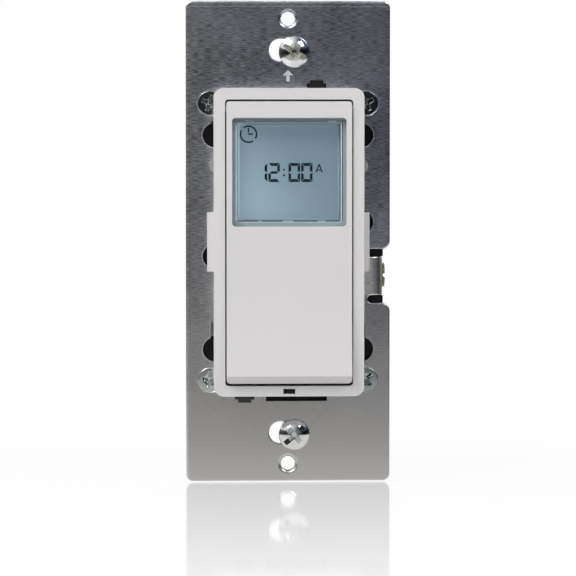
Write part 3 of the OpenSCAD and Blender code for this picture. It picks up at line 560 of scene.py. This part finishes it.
def smooth_tree():
    """Geometry nodes that shade a solid smooth, so that its rounded edges catch the light."""
    tree, start, end = geometry_group("shade_rounded")
    angle = tree.nodes.new("GeometryNodeInputMeshEdgeAngle")
    steep = tree.nodes.new("FunctionNodeCompare")
    steep.data_type = "FLOAT"
    steep.operation = "GREATER_THAN"
    steep.inputs[1].default_value = SMOOTH_ANGLE
    tree.links.new(angle.outputs["Unsigned Angle"], steep.inputs[0])
    faces = tree.nodes.new("GeometryNodeSetShadeSmooth")
    edges = tree.nodes.new("GeometryNodeSetShadeSmooth")
    edges.domain = "EDGE"
    edges.inputs["Shade Smooth"].default_value = False
    tree.links.new(steep.outputs[0], edges.inputs["Selection"])
    chain(tree, start, [faces, edges], end)
    return tree


def weight_tree(name, inner, regions):
    """Geometry nodes that round the edges inside upright regions less than those outside them."""
    tree, start, end = geometry_group(name)
    x, _, z = axes(tree, tree.nodes.new("GeometryNodeInputPosition").outputs[0])
    aside = math_node(tree, "ABSOLUTE", x)
    inside = 0
    for half_x, low_z, high_z in regions:
        within = product(tree, math_node(tree, "LESS_THAN", aside, half_x), between(tree, z, low_z, high_z))
        inside = math_node(tree, "MAXIMUM", inside, within)
    weight = math_node(tree, "SUBTRACT", 1, product(tree, inside, 1 - inner))
    angle = tree.nodes.new("GeometryNodeInputMeshEdgeAngle")
    steep = math_node(tree, "GREATER_THAN", angle.outputs["Unsigned Angle"], BEVEL_ANGLE)
    store = tree.nodes.new("GeometryNodeStoreNamedAttribute")
    store.domain = "EDGE"
    store.inputs["Name"].default_value = "bevel_weight_edge"
    tree.links.new(product(tree, weight, steep), store.inputs["Value"])
    chain(tree, start, [store], end)
    return tree


JOIN = merge_tree()
ROUNDED = smooth_tree()
# Edge radii in millimetres; the pieces in FULL_EDGES keep theirs where edges crowd
EDGE_RADII = {
    "mounting_strap": 0.32, "bezel_frame": 0.45, "push_pad": 0.28, "front_cover": 0.2, "back_housing": 0.4,
    "press_yoke": 0.15, "window_lens": 0.08, "lcd_glass": 0.05, "light_pipe": 0.1, "key_up": 0.3,
    "key_down": 0.3, "key_enter": 0.3, "key_back": 0.3, "ground_screw": 0.2, "hot_terminal_screws": 0.2,
    "neutral_terminal_screw": 0.2, "terminal_clamps": 0.15, "relay": 0.3, "film_capacitor": 0.4,
}
PLAIN_EDGE = 0.08
FULL_EDGES = ("mounting_strap", "back_housing")


def soften(obj, radius, weights=None, clamp=True):
    """Rounds a piece's edges by that radius in millimetres, edge by edge where weights are given."""
    join = obj.modifiers.new("join_corners", "NODES")
    join.node_group = JOIN
    flat = obj.modifiers.new("whole_faces", "DECIMATE")
    flat.decimate_type = "DISSOLVE"
    flat.angle_limit = FLAT_ANGLE
    if weights:
        rated = obj.modifiers.new("edge_weights", "NODES")
        rated.node_group = weights
    edge = obj.modifiers.new("rounded_edges", "BEVEL")
    edge.width = radius * MM
    edge.segments = 3
    edge.limit_method = "WEIGHT" if weights else "ANGLE"
    edge.angle_limit = BEVEL_ANGLE
    edge.use_clamp_overlap = clamp
    edge.loop_slide = clamp
    shade = obj.modifiers.new("shade_rounded", "NODES")
    shade.node_group = ROUNDED
    even = obj.modifiers.new("even_shading", "WEIGHTED_NORMAL")
    even.mode = "FACE_AREA"
    even.keep_sharp = True


CORNER_HEAD_R = 2.75
ROOM = 0.5 * MM
SCREW_ROOM = 2 * CORNER_HEAD_R * MM + ROOM
pad_low, pad_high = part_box("push_pad")
bezel_low, bezel_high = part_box("bezel_frame")
screws_low, screws_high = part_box("housing_screws")
# Regions with finer edges: half width, lowest and highest z
OPENING = (pad_high.x + 1.4 * MM, pad_low.z - 2.3 * MM, pad_high.z + 1.4 * MM)
COVERED = (bezel_high.x - 2.3 * MM, bezel_low.z - 2.2 * MM, bezel_high.z + 2.2 * MM)
UPPER_SCREWS = (screws_high.x + ROOM, screws_high.z - SCREW_ROOM, screws_high.z + ROOM)
LOWER_SCREWS = (screws_high.x + ROOM, screws_low.z - ROOM, screws_low.z + SCREW_ROOM)
EDGE_WEIGHTS = {
    "bezel_frame": weight_tree("opening_edges", inner=0.3, regions=[OPENING]),
    "mounting_strap": weight_tree("covered_edges", inner=0.08,
                                  regions=[COVERED, UPPER_SCREWS, LOWER_SCREWS]),
}

for slot, names in NODE_SLOTS.items():
    for name in names.split():
        node = nodes[name]
        node.data.materials.clear()
        node.data.materials.append(FINISHES[slot])
        soften(node, EDGE_RADII.get(name, PLAIN_EDGE), EDGE_WEIGHTS.get(name), name not in FULL_EDGES)


# Pieces drawn on the switch, in millimetres

def to_mesh(work, name):
    """A mesh from the finished work."""
    mesh = bpy.data.meshes.new(name)
    work.to_mesh(mesh)
    work.free()
    return mesh


def new_piece(name, mesh, finish_name, body):
    """A piece of the switch made from a mesh, riding on a body."""
    obj = bpy.data.objects.new(name, mesh)
    scene.collection.objects.link(obj)
    mesh.materials.append(FINISHES[finish_name])
    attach(obj, body)
    return obj


def thin_marks(name, outlines, front, depth, finish_name, body):
    """Flat marks cut from outlines in x and z, with their faces at y = front."""
    work = bmesh.new()
    for outline in outlines:
        work.faces.new([work.verts.new((x * MM, front * MM, z * MM)) for x, z in outline])
    bmesh.ops.remove_doubles(work, verts=work.verts, dist=0.001 * MM)
    grown = bmesh.ops.extrude_face_region(work, geom=work.faces[:])
    moved = [v for v in grown["geom"] if isinstance(v, bmesh.types.BMVert)]
    bmesh.ops.translate(work, verts=moved, vec=mm(0, depth, 0))
    bmesh.ops.recalc_face_normals(work, faces=work.faces)
    new_piece(name, to_mesh(work, name), finish_name, body)


def bar(x0, z0, x1, z1, width):
    """A straight stroke."""
    start, end = Vector((x0, z0)), Vector((x1, z1))
    along = (end - start).normalized()
    side = Vector((-along.y, along.x)) * width / 2
    return [tuple(start + side), tuple(end + side), tuple(end - side), tuple(start - side)]


def level_bar(x0, x1, z, width):
    """A stroke along x."""
    return bar(x0, z, x1, z, width)


def upright_bar(x, z0, z1, width):
    """A stroke along z."""
    return bar(x, z0, x, z1, width)


def ring_arc(cx, cz, inner, outer, start, stop, steps=16):
    """Part of a flat ring, as outlines of its steps."""
    found = []
    for i in range(steps):
        a, b = (math.radians(start + (stop - start) * k / steps) for k in (i, i + 1))
        corners = ((inner, a), (outer, a), (outer, b), (inner, b))
        found.append([(cx + r * math.cos(angle), cz + r * math.sin(angle)) for r, angle in corners])
    return found


def frame_strips(left, right, low, high, left_wide, wide):
    """The four mitred strips of an upright frame; the left one has its own width."""
    outer = [(left, low), (right, low), (right, high), (left, high)]
    inner = [(left + left_wide, low + wide), (right - wide, low + wide), (right - wide, high - wide),
             (left + left_wide, high - wide)]
    return [[outer[i - 1], outer[i], inner[i], inner[i - 1]] for i in range(4)]


def digit_outlines(left, low, wide, lit):
    """The lit bars of a seven-bar digit."""
    tall = 4.1
    thick = 0.64
    gap = 0.07
    mid = tall / 2
    half_bar = 0.42 * thick
    tip = 0.55 * thick
    inner = thick - gap
    bars = {
        "a": [(gap, tall), (wide - gap, tall), (wide - thick, tall - thick), (thick, tall - thick)],
        "d": [(gap, 0), (thick, thick), (wide - thick, thick), (wide - gap, 0)],
        "g": [(tip, mid), (thick, mid + half_bar), (wide - thick, mid + half_bar), (wide - tip, mid),
              (wide - thick, mid - half_bar), (thick, mid - half_bar)],
        "f": [(0, tall - gap), (inner, tall - thick - gap), (inner, mid + half_bar + gap), (0, mid + gap)],
        "e": [(0, gap), (0, mid - gap), (inner, mid - half_bar - gap), (inner, thick + gap)],
    }
    bars["b"] = [(wide - x, z) for x, z in bars["f"]]
    bars["c"] = [(wide - x, z) for x, z in bars["e"]]
    return [[(left + x, low + z) for x, z in bars[key]] for key in lit]


def display_marks():
    """The clock reading with its morning sign, and the small clock sign of the display."""
    ink = 0.02
    low, high = box_mm("lcd_glass")
    at = (low + high) / 2
    digits = ((-7.16, 2.5, "bc"), (-4.42, 2.5, "abged"), (-0.05, 2.52, "abcdef"), (2.68, 2.46, "abcdef"))
    reading_low = at.z - 2.14
    outlines = []
    for left, wide, lit in digits:
        outlines += digit_outlines(at.x + left, reading_low, wide, lit)
    colon_left = at.x - 1.22
    dot = 0.4
    for rise in (0.53, -0.69):
        outlines.append(level_bar(colon_left, colon_left + dot, at.z + rise, dot))
    sign_left, sign_right = at.x + 5.9, at.x + 7.24
    foot, peak = at.z - 0.06, at.z + 1.7
    lean, leg = 0.66, 0.27
    outlines += [bar(sign_left, foot, sign_left + lean, peak, leg),
                 bar(sign_right - lean, peak, sign_right, foot, leg),
                 level_bar(sign_left + 0.25, sign_right - 0.24, at.z + 0.46, 0.24)]
    cx, cz = low.x + 2.4, high.z - 2.43
    ring_in, ring_out, hand = 1.57, 1.9, 0.3
    for start, stop in ((-32, 128), (150, 305)):
        outlines += ring_arc(cx, cz, ring_in, ring_out, start, stop)
    outlines += [upright_bar(cx - 0.02, cz + 0.42, cz + 1.39, hand),
                 level_bar(cx - 0.15, cx + 0.98, cz + 0.03, hand)]
    thin_marks("display_marks", outlines, low.y - ink, ink, "segment_ink", "switch")


def window_border():
    """The tinted border behind the rim of the window, and the painted shade and painted highlight lines
    where its rib meets it.
    """
    low, high = box_mm("window_lens")
    half = high.x - BORDER_INSET
    bottom, top = low.z + BORDER_INSET, high.z - BORDER_INSET
    plate_back = low.y + 1.3
    strips = frame_strips(-half, half, bottom, top, BORDER_LEFT_RIM, BORDER_RIM)
    thin_marks("window_border", strips, plate_back + 0.01, 0.08, "window_tint", "pad")
    face = plate_back + 0.005
    line_depth = 0.02
    inner_x = half - BORDER_RIM
    inner_low, inner_high = bottom + BORDER_RIM, top - BORDER_RIM
    # Painted shade lines: the top one, the right one and the dashes along the bottom
    shade = [level_bar(-inner_x - 0.3, inner_x + 0.3, inner_high + 0.42, 0.06),
             upright_bar(inner_x + 0.42, inner_low, inner_high + 0.2, 0.2)]
    for start, end in ((0.1 - inner_x, -6.6), (-6.0, -1.4), (1.0, 6.2), (7.9, inner_x - 0.3)):
        shade.append(level_bar(start, end, inner_low - 0.05, 0.24))
    thin_marks("window_painted_shade_lines", shade, face, line_depth, "window_painted_shade", "pad")
    # Painted highlight lines: the left and right ones, two short ones at the top and the bottom one
    glint = [upright_bar(BORDER_LEFT_RIM - half - 0.14, inner_low, inner_high - 0.3, 0.26),
             upright_bar(inner_x + 0.16, inner_low, inner_high, 0.24),
             level_bar(inner_x - 2.7, inner_x - 1, inner_high + 0.46, 0.12),
             bar(1.7 - inner_x, inner_high + 0.6, 3.6 - inner_x, inner_high + 0.44, 0.08),
             level_bar(-inner_x, inner_x, inner_low - 0.3, 0.06)]
    thin_marks("window_glint_lines", glint, face - 0.002, line_depth, "window_glint", "pad")


def key_marks():
    """An arrow or a tick printed on each setting key."""
    ink = 0.03
    signs = {
        "up": [[(0, 1.3), (1.4, -0.9), (-1.4, -0.9)]],
        "down": [[(0, -1.3), (-1.4, 0.9), (1.4, 0.9)]],
        "enter": [bar(-1.3, 0, -0.4, -0.95, 0.4), bar(-0.5, -0.95, 1.4, 1.1, 0.4)],
        "back": [level_bar(-0.6, 1.5, 0, 0.42), [(-1.6, 0), (-0.4, -0.95), (-0.4, 0.95)]],
    }
    for key, outlines in signs.items():
        low, high = box_mm("key_" + key)
        at = (low + high) / 2
        placed = [[(at.x + x, at.z + z) for x, z in outline] for outline in outlines]
        thin_marks(key + "_sign", placed, low.y - ink, ink, "legend_ink", key + "_key")


def strap_arrow():
    """The printed arrow that shows which end of the strap goes up."""
    ink = 0.03
    low, high = box_mm("mounting_strap")
    z = high.z - 16.25
    head_half = 1.15
    outlines = [[(0, z + 1.3), (head_half, z + 0.1), (-head_half, z + 0.1)],
                upright_bar(0, z + 0.15, z - 1.2, 0.7)]
    thin_marks("up_arrow", outlines, low.y - ink, ink, "strap_print", "switch")


display_marks()
window_border()
key_marks()
strap_arrow()


# Screws, in millimetres

def turned(name, rows, steps):
    """A round mesh along y: each row is a depth and a radius, or a radius for each angle."""
    work = bmesh.new()
    rings = []
    for depth, radius in rows:
        ring = []
        for i in range(steps):
            angle = math.tau * i / steps
            r = radius(angle) if callable(radius) else radius
            ring.append(work.verts.new((r * math.cos(angle) * MM, depth * MM, r * math.sin(angle) * MM)))
        rings.append(ring)
    for a, b in zip(rings, rings[1:]):
        for i in range(steps):
            j = (i + 1) % steps
            work.faces.new((a[i], a[j], b[j], b[i]))
    work.faces.new(rings[0])
    work.faces.new(rings[-1])
    bmesh.ops.recalc_face_normals(work, faces=work.faces)
    return to_mesh(work, name)


def driver_blade(face, deep, span, floor_span, wide, floor_wide, angle):
    """One tapered blade of a driver, sunk into a head from y = face."""
    turn = Matrix.Rotation(math.radians(angle), 3, "Y")
    work = bmesh.new()
    for y, s, w in ((face - 1, span, wide), (face, span, wide), (face + deep, floor_span, floor_wide)):
        for sx in (-1, 1):
            for sz in (-1, 1):
                work.verts.new((turn @ Vector((sx * s / 2, y, sz * w / 2))) * MM)
    bmesh.ops.convex_hull(work, input=work.verts[:])
    return to_mesh(work, "blade")


def carved(mesh, cutters):
    """The mesh with the cutters taken out of it."""
    whole = bpy.data.objects.new("carving", mesh)
    scene.collection.objects.link(whole)
    tools = []
    for cutter in cutters:
        tool = bpy.data.objects.new("cutter", cutter)
        scene.collection.objects.link(tool)
        tools.append(tool)
        step = whole.modifiers.new("cut", "BOOLEAN")
        step.operation = "DIFFERENCE"
        step.solver = "EXACT"
        step.object = tool
    graph = bpy.context.evaluated_depsgraph_get()
    result = bpy.data.meshes.new_from_object(whole.evaluated_get(graph))
    for obj in [whole, *tools]:
        bpy.data.objects.remove(obj)
    return result


def screw_thread(start, end, radius, pitch, depth):
    """Rows of a helical thread that fades in below the head and out at its tip."""
    rows_a_turn = 8
    run_in, first_rise = 0.6, 0.1
    run_out, last_rise = 1.2, 0.25
    crest = 1.25
    rows = []
    count = int((end - start) / pitch * rows_a_turn)
    for i in range(count + 1):
        y = start + (end - start) * i / count
        fade = min(1, (end - y) / run_out + last_rise, (y - start) / run_in + first_rise)

        def ridge(angle, y=y, fade=fade):
            """The thread's radius at an angle."""
            wave = abs(((y / pitch - angle / math.tau) % 1) - 0.5) * 2
            return radius - depth * (1 - fade * min(1, wave * crest))

        rows.append((y, ridge))
    return rows


def box_screw(name, node, body, slot_angle, recess, slot_floor):
    """A bright screw with a domed combination head, a captive neck and a helical thread."""
    low, high = box_mm(node)
    at = middle(node) / MM
    apex = low.y
    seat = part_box("mounting_strap")[0].y / MM - 0.05
    head_r = (high.x - low.x) / 2
    neck_r = 1.5
    thread_start = 0.95
    dome = 1.55
    dome_rows = 14
    sphere_r = (head_r ** 2 + dome ** 2) / (2 * dome)

    def skin_depth(reach):
        """The depth of the dome's skin at a distance from its middle."""
        return apex + sphere_r - math.sqrt(max(sphere_r ** 2 - reach ** 2, 0))

    radii = [0.97 * head_r * i / dome_rows for i in range(1, dome_rows + 1)]
    rows = [(skin_depth(r), r) for r in radii]
    # The rim, the underside and the neck
    rows += [(apex + dome - 0.02, 0.992 * head_r), (apex + dome + 0.1, head_r), (seat - 0.2, head_r),
             (seat - 0.06, head_r - 0.06), (seat, head_r - 0.2), (seat, neck_r),
             (thread_start - 0.05, neck_r - 0.01)]
    rows += screw_thread(thread_start, high.y, radius=1.72, pitch=0.794, depth=0.42)
    slot_depth = 0.95
    slot_wide = 1.15
    cuts = [driver_blade(apex, slot_depth, span=8, floor_span=8, wide=slot_wide, floor_wide=1.05,
                         angle=slot_angle)]
    for quarter in (0, 90):
        cuts.append(driver_blade(apex, 2.1, span=4.6, floor_span=1.1, wide=slot_wide, floor_wide=0.7,
                                 angle=slot_angle + quarter))
    mesh = carved(turned(name, rows, steps=48), cuts)
    below_skin, above_seat, inside_rim, floor_slack = 0.06, 0.1, 0.05, 0.03
    sunk = []
    for face in mesh.polygons:
        spot = face.center / MM
        reach = math.hypot(spot.x, spot.z)
        deep = skin_depth(reach) + below_skin < spot.y < seat - above_seat and reach < head_r - inside_rim
        level = abs(spot.y - apex - slot_depth) < floor_slack and face.normal.y < -0.9
        sunk.append(2 if level else int(deep))
    mesh.transform(Matrix.Translation(mm(at.x, 0, at.z)))
    mesh.name = name
    obj = new_piece(name, mesh, "screw_chrome", body)
    mesh.materials.append(FINISHES[recess])
    mesh.materials.append(FINISHES[slot_floor])
    for face, index in zip(mesh.polygons, sunk):
        face.material_index = index
    soften(obj, radius=0.06)
    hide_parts(node)


def corner_screws():
    """The four countersunk cross-head screws that clamp the housing to the strap."""
    low, high = box_mm("housing_screws")
    face = low.y
    head_r = CORNER_HEAD_R
    shank_r = 1.45
    # The flat face, the chamfered rim and the countersink
    rows = [(face, 0.6 * head_r), (face + 0.01, head_r - 0.22), (face + 0.16, head_r - 0.04),
            (face + 0.3, head_r), (face + 1.3, shank_r)]
    rows += screw_thread(face + 1.35, high.y, shank_r, pitch=1.06, depth=0.3)
    work = bmesh.new()
    for sx, sz, turn in ((-1, 1, 20), (1, 1, 62), (-1, -1, 5), (1, -1, 48)):
        cuts = [driver_blade(face, 1.5, span=3.5, floor_span=0.8, wide=0.85, floor_wide=0.55,
                             angle=turn + quarter) for quarter in (0, 90)]
        mesh = carved(turned("corner_screw", rows, steps=40), cuts)
        mesh.transform(Matrix.Translation(mm(sx * (high.x - head_r), 0, sz * (high.z - head_r))))
        work.from_mesh(mesh)
        bpy.data.meshes.remove(mesh)
    mesh = to_mesh(work, "corner_screws")
    obj = new_piece("corner_screws", mesh, "screw_steel", "switch")
    soften(obj, radius=0.05)
    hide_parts("housing_screws")


box_screw("top_fixing_screw", "top_box_screw", "top_screw", slot_angle=32, recess="warm_recess",
          slot_floor="warm_recess")
# The bottom screw's slot floors carry painted shade
box_screw("bottom_fixing_screw", "bottom_box_screw", "bottom_screw", slot_angle=-42, recess="cool_recess",
          slot_floor="slot_painted_shade")
corner_screws()


# Floor, light and camera, in metres

def floor():
    """A pale gloss floor that mirrors the foot of the switch and fades away from it."""
    level = cad_low.z - 0.22 * MM
    half = 3.0
    corners = [(-half, -half, level), (half, -half, level), (half, half, level), (-half, half, level)]
    mesh = bpy.data.meshes.new("floor")
    mesh.from_pydata(corners, [], [(0, 1, 2, 3)])
    obj = bpy.data.objects.new("floor", mesh)
    scene.collection.objects.link(obj)
    material = bpy.data.materials.new("floor_gloss")
    material.use_nodes = True
    mesh.materials.append(material)
    tree = material.node_tree
    tree.nodes.clear()
    path = tree.nodes.new("ShaderNodeLightPath").outputs
    by_camera = path["Is Camera Ray"]
    seen = math_node(tree, "MAXIMUM", by_camera, path["Is Glossy Ray"])
    seen = math_node(tree, "MAXIMUM", seen, path["Is Transmission Ray"])
    place = tree.nodes.new("ShaderNodeNewGeometry").outputs["Position"]
    x, y, _ = axes(tree, place)
    aside = math_node(tree, "ABSOLUTE", x)
    reach = tree.nodes.new("ShaderNodeVectorMath")
    reach.operation = "LENGTH"
    tree.links.new(place, reach.inputs[0])
    matt = tree.nodes.new("ShaderNodeBsdfDiffuse")
    matt.inputs["Color"].default_value = (0.62, 0.62, 0.62, 1)
    sheet = ramp(tree, y, start=-0.62, end=-0.05, low=0.05, high=0.59, smooth=True)
    foot = ramp(tree, y, start=-0.09, end=-0.015, low=0, high=0.24)
    edge = ramp(tree, aside, start=0.12, end=0.24, low=1, high=0.1)
    spread = product(tree, math_node(tree, "ADD", sheet, foot), edge)
    glow = tree.nodes.new("ShaderNodeEmission")
    tree.links.new(math_node(tree, "MAXIMUM", spread, by_camera), glow.inputs["Strength"])
    warm_white = (1, 0.975, 0.94, 1)
    tree.links.new(mix_color(tree, by_camera, warm_white, WHITE), glow.inputs["Color"])
    clear = ramp(tree, reach.outputs["Value"], start=0.05, end=0.16, low=0.88, high=1)
    white = mix_shader(tree, product(tree, seen, clear), matt.outputs[0], glow.outputs[0])
    mirror = tree.nodes.new("ShaderNodeBsdfGlossy")
    mirror.inputs["Color"].default_value = WHITE
    mirror.inputs["Roughness"].default_value = 0.06
    fade = ramp(tree, math_node(tree, "ABSOLUTE", y), start=0, end=0.222, low=0.44, high=0)
    beside = ramp(tree, aside, start=0.03, end=0.11, low=1, high=0)
    surface = mix_shader(tree, product(tree, fade, beside, by_camera), white, mirror.outputs[0])
    out = tree.nodes.new("ShaderNodeOutputMaterial")
    tree.links.new(surface, out.inputs[0])


def studio_world():
    """White all round as seen; as light, bright behind the switch, dim before it and dark at its sides."""
    world = bpy.data.worlds.new("studio")
    scene.world = world
    world.use_nodes = True
    tree = world.node_tree
    x, y, z = axes(tree, tree.nodes.new("ShaderNodeTexCoord").outputs["Generated"])
    path = tree.nodes.new("ShaderNodeLightPath").outputs
    depth = ramp(tree, y, start=-1.12, end=0.3, smooth=True)
    sky = ramp(tree, z, start=0.04, end=0.25, low=0, high=0.56)
    gleam = product(tree, sky, path["Is Glossy Ray"])
    level = math_node(tree, "MINIMUM", math_node(tree, "ADD", depth, gleam), 1)
    flank = ramp(tree, math_node(tree, "ABSOLUTE", x), start=0.4, end=0.65, smooth=True)
    band = ramp(tree, math_node(tree, "ABSOLUTE", z), start=0.25, end=0.45, low=0.92, high=0, smooth=True)
    before = ramp(tree, y, start=0.25, end=0.5, low=1, high=0)
    dark = product(tree, flank, band, before, path["Is Glossy Ray"])
    level = product(tree, level, math_node(tree, "SUBTRACT", 1, dark))
    dusk = (0.1, 0.13, 0.2, 1)
    cool = mix_color(tree, ramp(tree, x, start=-0.15, end=0.35), WHITE, dusk)
    hue = mix_color(tree, ramp(tree, y, start=0.1, end=0.6, low=1, high=0), WHITE, cool)
    lit = mix_color(tree, 1, hue, level, "MULTIPLY")
    seen = math_node(tree, "MAXIMUM", path["Is Camera Ray"], path["Is Transmission Ray"])
    tree.links.new(mix_color(tree, seen, lit, WHITE), tree.nodes["Background"].inputs["Color"])


def softbox(name, at, size, power):
    """A large soft lamp that points at the switch."""
    lamp = bpy.data.lights.new(name, "AREA")
    lamp.shape = "RECTANGLE"
    lamp.size, lamp.size_y = size
    lamp.energy = power
    obj = bpy.data.objects.new(name, lamp)
    scene.collection.objects.link(obj)
    obj.location = at
    obj.rotation_euler = (-Vector(at)).to_track_quat("-Z", "Y").to_euler()


def photo_camera():
    """A long lens a little left of the switch and a little above its middle."""
    azimuth = math.radians(-2.46)
    rise = math.radians(2.70)
    reach = 0.65
    aim = mm(0, -1.5, -10.1)
    back = Vector((math.sin(azimuth) * math.cos(rise), -math.cos(azimuth) * math.cos(rise), math.sin(rise)))
    lens = bpy.data.cameras.new("camera")
    lens.sensor_width = 36
    lens.lens = 186.5
    lens.clip_start = 0.01
    obj = bpy.data.objects.new("camera", lens)
    scene.collection.objects.link(obj)
    obj.location = aim + back * reach
    obj.rotation_mode = "QUATERNION"
    obj.rotation_quaternion = (-back).to_track_quat("-Z", "Y")
    scene.camera = obj


floor()
studio_world()
softbox("key_softbox", at=(-0.52, -0.47, 0.86), size=(0.5, 0.5), power=8.5)
softbox("fill_softbox", at=(0.62, -0.5, 0.8), size=(0.45, 0.5), power=4.0)
photo_camera()
scene.view_settings.view_transform = "Standard"
